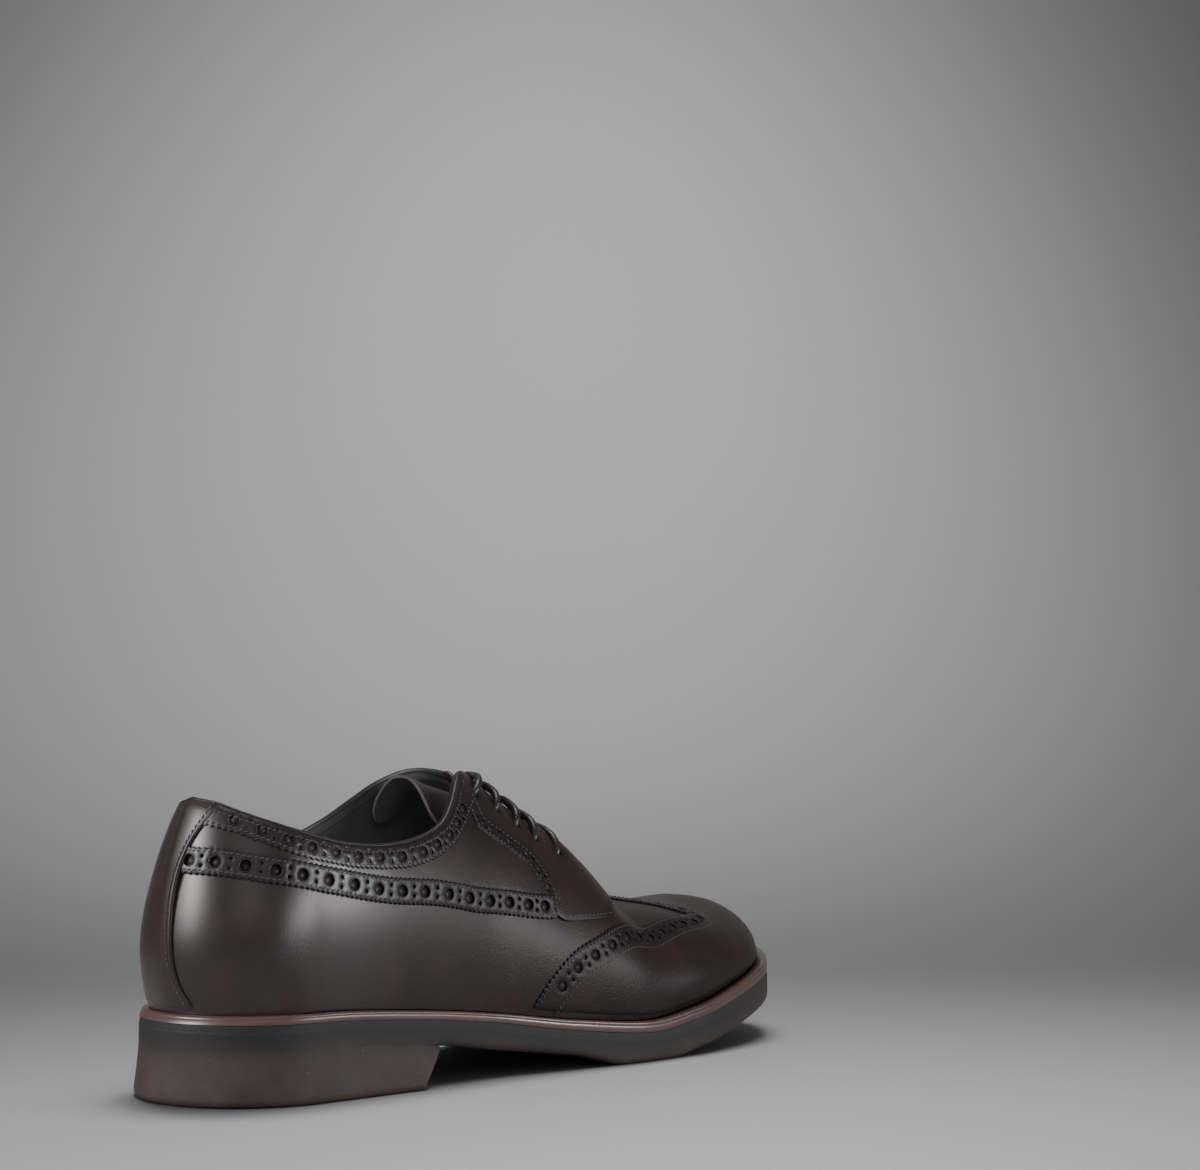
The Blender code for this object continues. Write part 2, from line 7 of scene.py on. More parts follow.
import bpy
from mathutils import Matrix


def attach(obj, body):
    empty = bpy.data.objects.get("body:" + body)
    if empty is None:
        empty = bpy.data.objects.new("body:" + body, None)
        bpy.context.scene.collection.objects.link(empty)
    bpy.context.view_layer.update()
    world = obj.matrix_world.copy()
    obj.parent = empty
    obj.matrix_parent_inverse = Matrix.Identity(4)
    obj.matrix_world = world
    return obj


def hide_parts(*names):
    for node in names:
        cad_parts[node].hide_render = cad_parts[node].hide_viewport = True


bl_info = {
    "name": "Brogue derby",
    "version": (1, 0, 0),
    "blender": (4, 5, 0),
    "location": "3D View > Sidebar > Shoe",
    "description": "Dresses the packed brogue derby with leather, punching, stitches, lace and sole",
    "category": "Object",
}

import bmesh
import bpy
import numpy as np
from mathutils import Vector, geometry, kdtree

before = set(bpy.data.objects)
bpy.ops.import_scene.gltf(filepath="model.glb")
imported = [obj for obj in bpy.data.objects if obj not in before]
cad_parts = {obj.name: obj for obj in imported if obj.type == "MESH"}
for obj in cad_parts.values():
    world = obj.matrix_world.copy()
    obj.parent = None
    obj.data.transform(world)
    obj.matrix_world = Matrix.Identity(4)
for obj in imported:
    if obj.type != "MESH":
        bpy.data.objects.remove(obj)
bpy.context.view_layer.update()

MM = 0.001
MIDDLE = np.array([149.9, 0.97, 0.0])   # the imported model's origin, on the last
LATERAL = -1
MEDIAL = 1
UPWARD = np.array([0.0, 0.0, 1.0])
FORWARD = np.array([1.0, 0.0, 0.0])

# Driving sizes of the last
FEATHER_BACK = 5.0
FEATHER_TIP = 295.0
HEEL_ROUND = 33.0
TOE_ROUND = 80.0
TOE_SWING = 6.8
SWING_START = 190.0

# Heights of the leather layers above the last
WALL = 2.0               # upper with its lining, inward
QUARTER_TOP = 0.9
BAND_TOP = 1.6
BAND_FOOT_TOP = 1.1      # the long band is lower along its foot, on the bare side of the shoe
COLLAR_EDGE_TOP = 1.1    # the collar band is thinned towards the topline
FACING_TOP = 1.2
FACING_BULGE = 2.0       # more over the front of the throat
WING_TOP = 0.85
LEATHER_FOOT = 0.1       # underside of what lies on the upper
COLLAR_FOOT = 0.75       # underside of the collar band, on the quarter
BURNISH_AND_SHADE_REACH = 2.6            # reach of the darker burnish and painted shade along cut edges
BACK_PRESS = 0.75        # how much flatter the layers lie round the back of the inner side
BACK_FLARE = 1.5         # fuller foot of the upper at the back
TONGUE = 1.1             # thickness
TONGUE_SIDE = 0.60       # height of the tongue's side edges
BACKING = 0.08           # leather seen at the bottom of a punched hole
EYELET = 3.4             # blind eyelet in a facing
STRIP_ROUND = 68.0       # way round the back for one radian of turn
STRIP_SEAM = 1.7         # stitches from the back strip's edge

# Depth of the backing in the holes of each piece, and rows beside the pieces' edges
BAND_SINK = 1.1
COLLAR_SINK = 0.52
FACING_SINK = 0.18
WING_SINK = 0.62
BAND_SEAM = 0.75         # stitches from a band's edge
COLLAR_SEAM = 2.2        # stitches below the topline
LINING_SEAM = 3.0        # stitches below the topline, inside
TAB_SEAM = 1.5           # stitches above the tab's foot
FACING_SEAMS = (0.6, 5.0)
QUARTER_UNDER = 4.6      # how far the quarter goes on under the facing
WING_SEAMS = (0.8, 9.4)
WING_ROW = 4.8           # punched row from the wing's edge
WING_FIRST = 4.4         # first hole from the row's end
STITCH_RISE = 0.05       # middle of the thread above the leather
RIM_ROLL = 0.13          # rolled rim of a punched hole

# Sole and heel
INSOLE = 2.2
WELT_SEAT = 9.0
HEEL_LENGTH = 88.0
BREAST_SLANT = 9.5
HEEL_FLARE = 1.5
BREAST_FLARE = 2.2
FLARE_START = 40.0
FLARE_END = 76.0


def table(columns, rows):
    """Named columns of a table written with one row for each section."""
    values = np.array(rows, float).T
    return dict(zip(columns.split(), values))


# Plan and bottom line of the last, a row for each cross-section
LAST = table("x lateral medial feather", [
    (5, 31.5, 31.0, 29.2),
    (38, 32.5, 31.0, 28.9),
    (80, 33.2, 28.0, 26.2),
    (115, 34.1, 23.5, 22.5),
    (150, 40.5, 28.0, 17.7),
    (185, 46.2, 39.0, 14.9),
    (210, 46.5, 45.5, 17.9),
    (235, 44.1, 47.5, 22.6),
    (262, 41.4, 45.0, 28.0),
    (280, 36.5, 41.0, 30.6),
    (295, 29.6, 37.0, 32.6),
])

# Top line of the last: over the instep and along the toe
RIDGE = table("x y z", [
    (28, 0.0, 115.8),
    (60, 0.0, 121.0),
    (95, 0.5, 119.5),
    (118, 1.0, 112.0),
    (140, 1.5, 97.4),
    (152, 1.7, 89.7),
    (165, 2.0, 81.5),
    (172, 2.3, 75.3),
    (190, 3.0, 58.5),
    (215, 4.0, 54.6),
    (238, 5.0, 52.2),
    (256, 5.6, 53.0),
    (269, 6.0, 51.5),
])

# How full each cross-section is: lean of its side, round of its top, and outward swell of each side
FULLNESS = table("x side top swell_lateral swell_medial", [
    (5, 0.90, 1.05, 7.6, 7.6),
    (40, 0.85, 1.00, 5.0, 4.0),
    (90, 0.85, 1.00, 4.2, 5.0),
    (140, 0.90, 1.00, 4.1, 7.0),
    (190, 0.95, 1.00, 3.9, 5.0),
    (230, 0.90, 0.97, 3.8, 4.0),
    (270, 0.96, 1.05, 0.8, 3.0),
    (301, 0.96, 1.03, 2.1, 3.0),
])

# Underside of the outsole: heel seat, waist, tread step, flat ball, toe spring
TREAD = table("x z", [
    (0, 17.2),
    (38, 16.9),
    (88, 13.5),
    (116, 9.3),
    (137, 6.5),
    (153.5, 4.1),
    (159, 2.5),
    (170, 0.0),
    (197, 0.0),
    (209, 1.9),
    (226, 4.8),
    (246, 9.0),
    (258, 11.4),
    (280, 14.6),
    (300, 16.9),
])

# Welt and sole edge: thickness of the welt and reach of the sole past the feather line
EDGE = table("x welt reach", [
    (5, 2.9, 4.5),
    (90, 3.0, 4.5),
    (150, 3.8, 4.5),
    (210, 4.3, 4.5),
    (255, 4.4, 4.6),
    (295, 4.4, 5.8),
])

# Edges drawn on the last: x of the section on the feather line, height as a share of its girth
TOP_EDGE = table("x height", [
    (5, 0.588),
    (7.3, 0.570),
    (13.2, 0.527),
    (20, 0.488),
    (29.5, 0.446),
    (42.3, 0.409),
    (53, 0.395),
    (64, 0.392),
    (75.5, 0.401),
    (87.6, 0.426),
    (97.5, 0.474),
    (104.0, 0.543),
    (109.6, 0.629),
    (114.2, 0.705),
    (118.5, 0.770),
    (124.5, 0.840),
    (128.5, 0.895),
    (133, 0.935),
    (140, 0.925),
    (150, 0.905),
    (165, 0.895),
    (178, 0.900),
    (187, 0.930),
    (194.5, 1.0),
    (295, 1.0),
])
MEDIAL_RISE = table("x rise", [
    (5, 0.0),
    (64, 0.0),
    (75.5, 0.005),
    (82, 0.018),
    (88, 0.034),
    (93, 0.052),
    (97.5, 0.070),
    (102, 0.078),
    (107, 0.070),
    (110, 0.052),
    (114, 0.032),
    (118.5, 0.018),
    (124.5, 0.030),
    (128.5, 0.045),
    (133, 0.050),
    (140, 0.030),
    (150, 0.0),
    (295, 0.0),
])
FACING_EDGE = table("x height", [
    (112.0, 0.662),
    (114.2, 0.698),
    (118.5, 0.763),
    (124.5, 0.833),
    (128.5, 0.888),
    (133, 0.928),
    (140, 0.918),
    (150, 0.898),
    (165, 0.888),
    (178, 0.885),
    (190, 0.850),
    (198, 0.785),
])
FACING_HOLES = table("x height", [
    (116.6, 0.542),
    (123.0, 0.528),
    (131.6, 0.522),
    (139.4, 0.512),
    (142.8, 0.466),
    (144.6, 0.406),
])
FACING_REAR = table("x height", [
    (112.0, 0.655),
    (113.6, 0.618),
    (114.6, 0.575),
    (115.4, 0.535),
    (116.6, 0.510),
    (120.8, 0.498),
    (126.2, 0.492),
    (131.0, 0.484),
    (135.4, 0.475),
    (138.2, 0.462),
    (139.9, 0.434),
    (141.4, 0.400),
    (142.4, 0.365),
    (144.0, 0.330),
    (147.0, 0.308),
])
TAB_FOOT = table("x height", [
    (147.0, 0.308),
    (149.0, 0.302),
    (157.3, 0.322),
    (170.5, 0.368),
    (174.0, 0.386),
])
TAB_FRONT = table("x height", [
    (174.0, 0.386),
    (178.5, 0.450),
    (185.0, 0.560),
    (193.0, 0.700),
    (198, 0.785),
])
QUARTER_BAND = table("x height", [
    (5.05, 0.396),
    (5.6, 0.392),
    (8.7, 0.385),
    (22.8, 0.344),
    (43.1, 0.301),
    (75.6, 0.275),
    (106.9, 0.276),
    (134, 0.313),
    (146.0, 0.340),
])
QUARTER_HOLES = np.array([5.6, 8.8, 14.7, 22.5, 31.2, 41.8, 52.9, 63.7, 74.4, 84.8, 95.9, 105.8, 115.8, 124.8,
                          133.4, 141.0])
COLLAR_HOLES = table("x height", [
    (6.6, 0.533),
    (8.4, 0.521),
    (11.8, 0.502),
    (18.8, 0.460),
    (26.5, 0.421),
    (35.1, 0.390),
    (45.2, 0.372),
    (55.1, 0.361),
    (65, 0.359),
    (75.3, 0.363),
    (85.5, 0.379),
    (92.6, 0.404),
    (99.8, 0.443),
    (105, 0.490),
    (110, 0.553),
    (114.5, 0.612),
])
WING_EDGE = table("height x", [
    (0.02, 134.5),
    (0.053, 136.6),
    (0.12, 142.5),
    (0.203, 151.8),
    (0.284, 164.9),
    (0.440, 188.7),
    (0.51, 204),
    (0.568, 220),
    (0.592, 236),
    (0.615, 244),
    (0.677, 241),
    (0.771, 233),
    (0.83, 223),
    (0.90, 212.5),
    (1.0, 204),
])
BACK_STRIP = table("height half_angle top", [
    (0.02, 0.135, 1.1),
    (0.08, 0.080, 1.1),
    (0.14, 0.057, 1.2),
    (0.225, 0.046, 1.4),
    (0.30, 0.043, 1.9),
    (0.35, 0.050, 2.1),
    (0.385, 0.062, 2.2),
    (0.44, 0.088, 2.1),
    (0.50, 0.140, 2.0),
    (0.55, 0.195, 1.8),
    (0.58, 0.225, 1.2),
])
STRIP_MEDIAL = 0.40      # half angle of the back strip on the inner side
BAND_MEDIAL = 12.0       # where the bands of the inner side start, under the strip's edge
EYELETS = table("x height", [
    (121.4, 0.667),
    (132.3, 0.668),
    (141.8, 0.656),
    (150.2, 0.634),
    (161.4, 0.626),
])
LACE_BARS = table("slide rise", [     # from the top eyelets down
    (2.1, 0.0),
    (1.15, 0.5),
    (1.4, 1.9),
    (1.15, 0.0),
    (1.0, 0.0),
])
TONGUE_DROP = table("x drop", [
    (101, 10.2),
    (110, 10.0),
    (120, 8.5),
    (132, 5.5),
    (150, 3.0),
    (170, 1.5),
    (204, 0.4),
])

# Photographed view of the shoe
CAMERA_PLACE = (-533.9, -664.9, 124.8)
CAMERA_YAW = 48.26
CAMERA_PITCH = 2.86
CAMERA_LENS = 78.0

# Soft lights: place, target and size in metres, spread in degrees, and whether the floor is kept out of it
SOFT_LIGHTS = {
    "key": ((0.52, -1.15, 0.29), (-0.05, -0.03, 0.10), (0.84, 0.24), 60, True),
    "side": ((-1.14, 0.385, 0.60), (-0.1, 0.0, 0.10), (0.88, 1.1), 45, True),
    "overhead": ((0.08, -0.05, 0.75), (0.08, -0.045, 0.0), (0.45, 0.45), 110, False),
    "floor": ((0.17, 0.10, 1.80), (-0.30, -0.34, 0.0), (0.8, 0.8), 36, False),
    "fill": ((-0.75, -0.95, 0.75), (-0.02, 0.0, 0.07), (1.2, 0.8), 60, True),
}


def smooth(xs, ys):
    """A curve through the rows of a table that never overshoots them."""
    steps = np.diff(xs)
    slopes = np.diff(ys) / steps
    tangents = np.zeros_like(ys)
    tangents[0] = slopes[0]
    tangents[-1] = slopes[-1]
    for i in range(1, len(xs) - 1):
        if slopes[i - 1] * slopes[i] > 0:
            before = 2 * steps[i] + steps[i - 1]
            after = steps[i] + 2 * steps[i - 1]
            tangents[i] = (before + after) / (before / slopes[i - 1] + after / slopes[i])

    def curve(x):
        x = np.clip(np.asarray(x, float), xs[0], xs[-1])
        i = np.clip(np.searchsorted(xs, x) - 1, 0, len(xs) - 2)
        u = (x - xs[i]) / steps[i]
        return ((1 + 2 * u) * (1 - u) ** 2 * ys[i] + u * (1 - u) ** 2 * steps[i] * tangents[i]
                + u * u * (3 - 2 * u) * ys[i + 1] + u * u * (u - 1) * steps[i] * tangents[i + 1])

    return curve


def ease(low, high, value):
    """0 below low, 1 above high and a soft rise between."""
    share = np.clip((np.asarray(value, float) - low) / (high - low), 0, 1)
    return share * share * (3 - 2 * share)


def angle_of(x):
    """Angle round the feather outline, 0 at the back and pi at the toe, of the section at x."""
    share = (np.asarray(x, float) - FEATHER_BACK) / (FEATHER_TIP - FEATHER_BACK)
    return np.arccos(np.clip(1 - 2 * share, -1, 1))


lateral_breadth = smooth(LAST["x"], LAST["lateral"])
medial_breadth = smooth(LAST["x"], LAST["medial"])
feather_height = smooth(LAST["x"], LAST["feather"])
ridge_y = smooth(RIDGE["x"], RIDGE["y"])
ridge_z = smooth(RIDGE["x"], RIDGE["z"])
side_lean = smooth(FULLNESS["x"], FULLNESS["side"])
top_round = smooth(FULLNESS["x"], FULLNESS["top"])
lateral_swell = smooth(FULLNESS["x"], FULLNESS["swell_lateral"])
medial_swell = smooth(FULLNESS["x"], FULLNESS["swell_medial"])
tread_height = smooth(TREAD["x"], TREAD["z"])
welt_thickness = smooth(EDGE["x"], EDGE["welt"])
sole_reach = smooth(EDGE["x"], EDGE["reach"])
top_edge = smooth(angle_of(TOP_EDGE["x"]), TOP_EDGE["height"])
medial_rise = smooth(angle_of(MEDIAL_RISE["x"]), MEDIAL_RISE["rise"])
wing_edge = smooth(WING_EDGE["height"], WING_EDGE["x"])
strip_half_angle = smooth(BACK_STRIP["height"], BACK_STRIP["half_angle"])
strip_top = smooth(BACK_STRIP["height"], BACK_STRIP["top"])
tongue_drop = smooth(angle_of(TONGUE_DROP["x"]), TONGUE_DROP["drop"])


def topline(turn):
    """Height of the topline, which stands a little higher on the inner side of the shoe."""
    angle = np.abs(turn)
    return top_edge(angle) + np.where(np.asarray(turn) > 0, medial_rise(angle), 0.0)


def raised(edge, side, rows=slice(None)):
    """Rows of an edge near the topline, moved up with it on the inner side."""
    x = edge["x"][rows]
    height = edge["height"][rows]
    return {"x": x, "height": height + medial_rise(angle_of(x)) if side == MEDIAL else height}


def started(edge, side):
    """Rows of a band's middle line; on the inner side they start under the edge of the back strip."""
    if side == LATERAL:
        return edge
    x, height = edge["x"], edge["height"]
    later = x > BAND_MEDIAL
    first = np.interp(BAND_MEDIAL, x, height)
    return {"x": np.append(BAND_MEDIAL, x[later]), "height": np.append(first, height[later])}


def clear_of_strip(line):
    """The part of a band's line that the back strip leaves bare."""
    bare = (line[0] < 0) | (line[0] > STRIP_MEDIAL + 0.03)
    return line[0][bare], line[1][bare]


def end_round(x):
    """Share of the full breadth that is left as the outline closes at heel and toe."""
    heel = np.clip((HEEL_ROUND - (x - FEATHER_BACK)) / HEEL_ROUND, 0, 1)
    toe = np.clip((x - (FEATHER_TIP - TOE_ROUND)) / TOE_ROUND, 0, 1)
    return np.sqrt(1 - heel ** 2.2) * (1 - toe ** 2.8) ** 0.46


def feather(turn):
    """Point of the feather line. turn runs from -pi (toe) over the lateral side to 0 (back) and to pi."""
    turn = (np.asarray(turn, float) + np.pi) % (2 * np.pi) - np.pi
    x = FEATHER_BACK + (FEATHER_TIP - FEATHER_BACK) * (1 - np.cos(turn)) / 2
    swing = np.clip((x - SWING_START) / (FEATHER_TIP - SWING_START), 0, 1)
    breadth = np.where(turn < 0, -lateral_breadth(x), medial_breadth(x))
    y = TOE_SWING * swing ** 2 + breadth * end_round(x)
    return np.stack([x, y, feather_height(x)], -1)


def last_point(turn, height):
    """Point of the last at a share `height` of the way from the feather line to the ridge, or over it."""
    turn, height = np.broadcast_arrays(np.asarray(turn, float), np.asarray(height, float))
    over = height > 1
    turn = np.where(over, -turn, turn)
    rise = np.where(over, 2 - height, height) * np.pi / 2
    foot = feather(turn)
    x = foot[..., 0]
    along = (x - FEATHER_BACK) / (FEATHER_TIP - FEATHER_BACK)
    crest_x = RIDGE["x"][0] + (RIDGE["x"][-1] - RIDGE["x"][0]) * along
    crest = np.stack([crest_x, ridge_y(crest_x), ridge_z(crest_x)], -1)
    inward = 1 - np.cos(rise) ** side_lean(x)
    upward = np.sin(np.clip(rise, 0, np.pi)) ** top_round(x)
    point = foot + (crest - foot) * np.stack([inward, inward, upward], -1)
    across = crest[..., :2] - foot[..., :2]
    across = across / np.maximum(np.linalg.norm(across, axis=-1, keepdims=True), 1e-9)
    inner = ease(-10.0, 10.0, foot[..., 1])
    swell = lateral_swell(x) * (1 - inner) + medial_swell(x) * inner
    swell = swell * np.sin(np.pi * np.clip(upward, 0, 1)) * (1 - upward)
    flare = BACK_FLARE * (1 - ease(0.12, 0.36, height)) * (1 - ease(0.3, 0.8, np.abs(turn)))
    point[..., :2] -= across * (swell + flare)[..., None]
    return point


def last_tangents(turn, height):
    """How the last's point moves with turn and with height."""
    step = 0.004
    ridge_end = np.pi - 0.05
    turn, height = np.broadcast_arrays(np.asarray(turn, float), np.asarray(height, float))
    turn = (turn + np.pi) % (2 * np.pi) - np.pi
    turn = np.where(np.abs(height - 1) < 0.02, np.clip(turn, -ridge_end, ridge_end), turn)
    low = np.maximum(height - step, 0.0)
    along = (last_point(turn + step, height) - last_point(turn - step, height)) / (2 * step)
    up = (last_point(turn, height + step) - last_point(turn, low)) / (height + step - low)[..., None]
    return along, up


def unit(vectors):
    return vectors / np.linalg.norm(vectors, axis=-1, keepdims=True)


def last_normal(turn, height):
    """Unit vector pointing out of the last."""
    along, up = last_tangents(turn, height)
    return unit(np.cross(up, along))


def inner_back(turn):
    """1 round the back of the inner side, falling to 0 beside it."""
    return ease(0.0, 0.12, turn) * (1 - ease(0.33, 0.60, turn))


def lifted(turn, height, lift):
    """Point at a distance `lift` outside the last; layers lie flatter at the back of the inner side."""
    lift = np.asarray(lift, float)
    lift = np.where(lift > 0, lift * (1 - BACK_PRESS * inner_back(turn)), lift)
    return last_point(turn, height) + last_normal(turn, height) * lift[..., None]


def moved(turn, height, move):
    """Turn and height after a small move along the last, given in millimetres."""
    along, up = last_tangents(turn, height)
    aa = (along * along).sum(-1)
    au = (along * up).sum(-1)
    uu = (up * up).sum(-1)
    am = (along * move).sum(-1)
    um = (up * move).sum(-1)
    spread = aa * uu - au * au
    return turn + (uu * am - au * um) / spread, height + (aa * um - au * am) / spread


def even(turn, height, spacing):
    """The same line with points at even distances."""
    points = last_point(turn, height)
    steps = np.linalg.norm(np.diff(points, axis=0), axis=1)
    run = np.concatenate([[0.0], np.cumsum(steps)])
    at = np.linspace(0, run[-1], max(2, int(round(run[-1] / spacing)) + 1))
    return np.interp(at, run, turn), np.interp(at, run, height)


def drawn(edge, side, spacing):
    """Evenly spaced line through the rows of a drawn edge, on one side of the shoe."""
    angles = angle_of(edge["x"])
    heights = edge["height"]
    run = np.concatenate([[0.0], np.cumsum(np.hypot(np.diff(angles), np.diff(heights)))])
    at = np.linspace(0, run[-1], 600)
    return even(side * smooth(run, angles)(at), smooth(run, heights)(at), spacing)


def wing_line(spacing):
    """Edge of the toe wing from the lateral feather line over the vamp to the medial one."""
    heights = np.linspace(WING_EDGE["height"][0], 2 - WING_EDGE["height"][0], 1200)
    turn = -angle_of(wing_edge(np.minimum(heights, 2 - heights)))
    return even(turn, heights, spacing)


def beside(line, reach, towards):
    """The line moved sideways on the last by `reach`, to the side that `towards` points to."""
    turn, height = line
    run = unit(np.gradient(last_point(turn, height), axis=0))
    across = np.cross(last_normal(turn, height), run)
    sense = np.sign((across @ towards).sum())
    return moved(turn, height, across * sense * np.reshape(reach, (-1, 1)))


def mitred(line):
    """A row beside the wing's edge, cut where its two sides cross on the ridge at the peak."""
    turn, height = line
    before = np.arange(len(turn)) < len(turn) / 2
    own_side = np.where(before, height <= 1, height >= 1)
    return turn[own_side], height[own_side]


def gimped(line, depth, towards):
    """Toothed edge: four points of the line to a tooth, its tips standing out by `depth`."""
    teeth = np.array([0.0, 0.5, 1.0, 0.5])
    reach = depth * np.resize(teeth, len(line[0]))
    return beside(line, reach, towards)


def joined(*lines):
    """Lines laid end to end as one closed ring of turn and height."""
    turn = np.concatenate([line[0] for line in lines])
    height = np.concatenate([line[1] for line in lines])
    points = last_point(turn, height)
    apart = np.linalg.norm(points - np.roll(points, 1, axis=0), axis=1) > 0.05
    return turn[apart], height[apart]


def backwards(line):
    return line[0][::-1], line[1][::-1]


def circle_on_last(turn, height, radius, count):
    """Ring of a punched hole round one place on the last."""
    along, up = last_tangents(turn, height)
    first = unit(along)
    second = np.cross(unit(np.cross(up, along)), first)
    angles = np.linspace(0, 2 * np.pi, count, endpoint=False)[:, None]
    move = radius * (np.cos(angles) * first + np.sin(angles) * second)
    return moved(np.full(count, turn), np.full(count, height), move)


def inside_ring(ring, points):
    """Which points lie inside a closed ring, both flat."""
    x, y = points[:, 0][:, None], points[:, 1][:, None]
    ax, ay = ring[:, 0][None], ring[:, 1][None]
    bx, by = np.roll(ring[:, 0], -1)[None], np.roll(ring[:, 1], -1)[None]
    straddles = (ay > y) != (by > y)
    rise = np.where(by == ay, 1e-12, by - ay)
    crosses = x < ax + (bx - ax) * (y - ay) / rise
    return (straddles & crosses).sum(1) % 2 == 1


def nearest(points, edges):
    """Distance of each point to the nearest of the edge points."""
    tree = kdtree.KDTree(len(edges))
    for i, point in enumerate(edges):
        tree.insert(Vector(point), i)
    tree.balance()
    return np.array([tree.find(Vector(point))[2] for point in points])


def placed(points):
    """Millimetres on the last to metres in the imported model's frame."""
    return (np.asarray(points, float) - MIDDLE) * MM


def add_object(name, mesh, materials):
    item = bpy.data.objects.new(name, mesh)
    for material in materials:
        mesh.materials.append(material)
    bpy.context.scene.collection.objects.link(item)
    return item


def add_mesh(name, points, faces, materials, slots=None, sharp=40.0, merge=0.002, edges=None):
    """Closed object from points in millimetres on the last; points that coincide become one.

    `edges` says for each point how near it lies to a cut edge, from 0 to 1, for the leather's burnish and the
    painted shade along its edges.
    """
    mesh = bpy.data.meshes.new(name)
    shape = bmesh.new()
    layer = shape.verts.layers.float.new("near_edge") if edges is not None else None
    corners = [shape.verts.new(point) for point in placed(points)]
    if layer is not None:
        for corner, value in zip(corners, edges):
            corner[layer] = value
    for i, face in enumerate(faces):
        made = shape.faces.new([corners[k] for k in face])
        if slots is not None:
            made.material_index = int(slots[i])
    bmesh.ops.remove_doubles(shape, verts=shape.verts, dist=merge * MM)
    torn = {corner for edge in shape.edges if len(edge.link_faces) != 2 for corner in edge.verts}
    bmesh.ops.remove_doubles(shape, verts=list(torn), dist=0.2 * MM)
    bmesh.ops.dissolve_degenerate(shape, edges=shape.edges, dist=1e-7)
    bmesh.ops.recalc_face_normals(shape, faces=shape.faces)
    shape.to_mesh(mesh)
    shape.free()
    mesh.shade_smooth()
    mesh.set_sharp_from_angle(angle=np.radians(sharp))
    return add_object(name, mesh, materials)


def dress(item, slot, *nodes):
    """Fix a finished piece to the shoe; it takes the place of the CAD nodes that it stands for."""
    if not item.data.polygons:
        raise RuntimeError(f"{item.name} has no faces")
    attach(item, "root")
    if nodes:
        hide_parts(*nodes)
    return item


def grid_shell(name, inside, outside, materials, sharp=40.0, rim=0):
    """Closed leather piece between two like grids.

    Materials lie outside and inside, and `rim` gives the one on the edge.
    """
    rows, columns = inside.shape[:2]
    place = {}
    corner = np.zeros((rows, columns), int)
    for i in range(rows):
        for j in range(columns):
            key = tuple(np.round(inside[i, j], 3) + 0.0)
            corner[i, j] = place.setdefault(key, len(place))
    count = len(place)
    points = np.zeros((2 * count, 3))
    points[corner.ravel()] = inside.reshape(-1, 3)
    points[corner.ravel() + count] = outside.reshape(-1, 3)
    faces = []
    slots = []
    free_edges = {}
    lining = min(1, len(materials) - 1)
    for i in range(rows - 1):
        for j in range(columns - 1):
            ring = [corner[i, j], corner[i + 1, j], corner[i + 1, j + 1], corner[i, j + 1]]
            ring = [a for a, b in zip(ring, ring[1:] + ring[:1]) if a != b]
            if len(set(ring)) < 3:
                continue
            faces += [[a + count for a in ring], ring[::-1]]
            slots += [0, lining]
            for a, b in zip(ring, ring[1:] + ring[:1]):
                if (b, a) in free_edges:
                    del free_edges[(b, a)]
                else:
                    free_edges[(a, b)] = True
    for a, b in free_edges:
        faces.append([a, b, b + count, a + count])
        slots.append(rim)
    return add_mesh(name, points, faces, materials, slots, sharp, merge=0.0005)


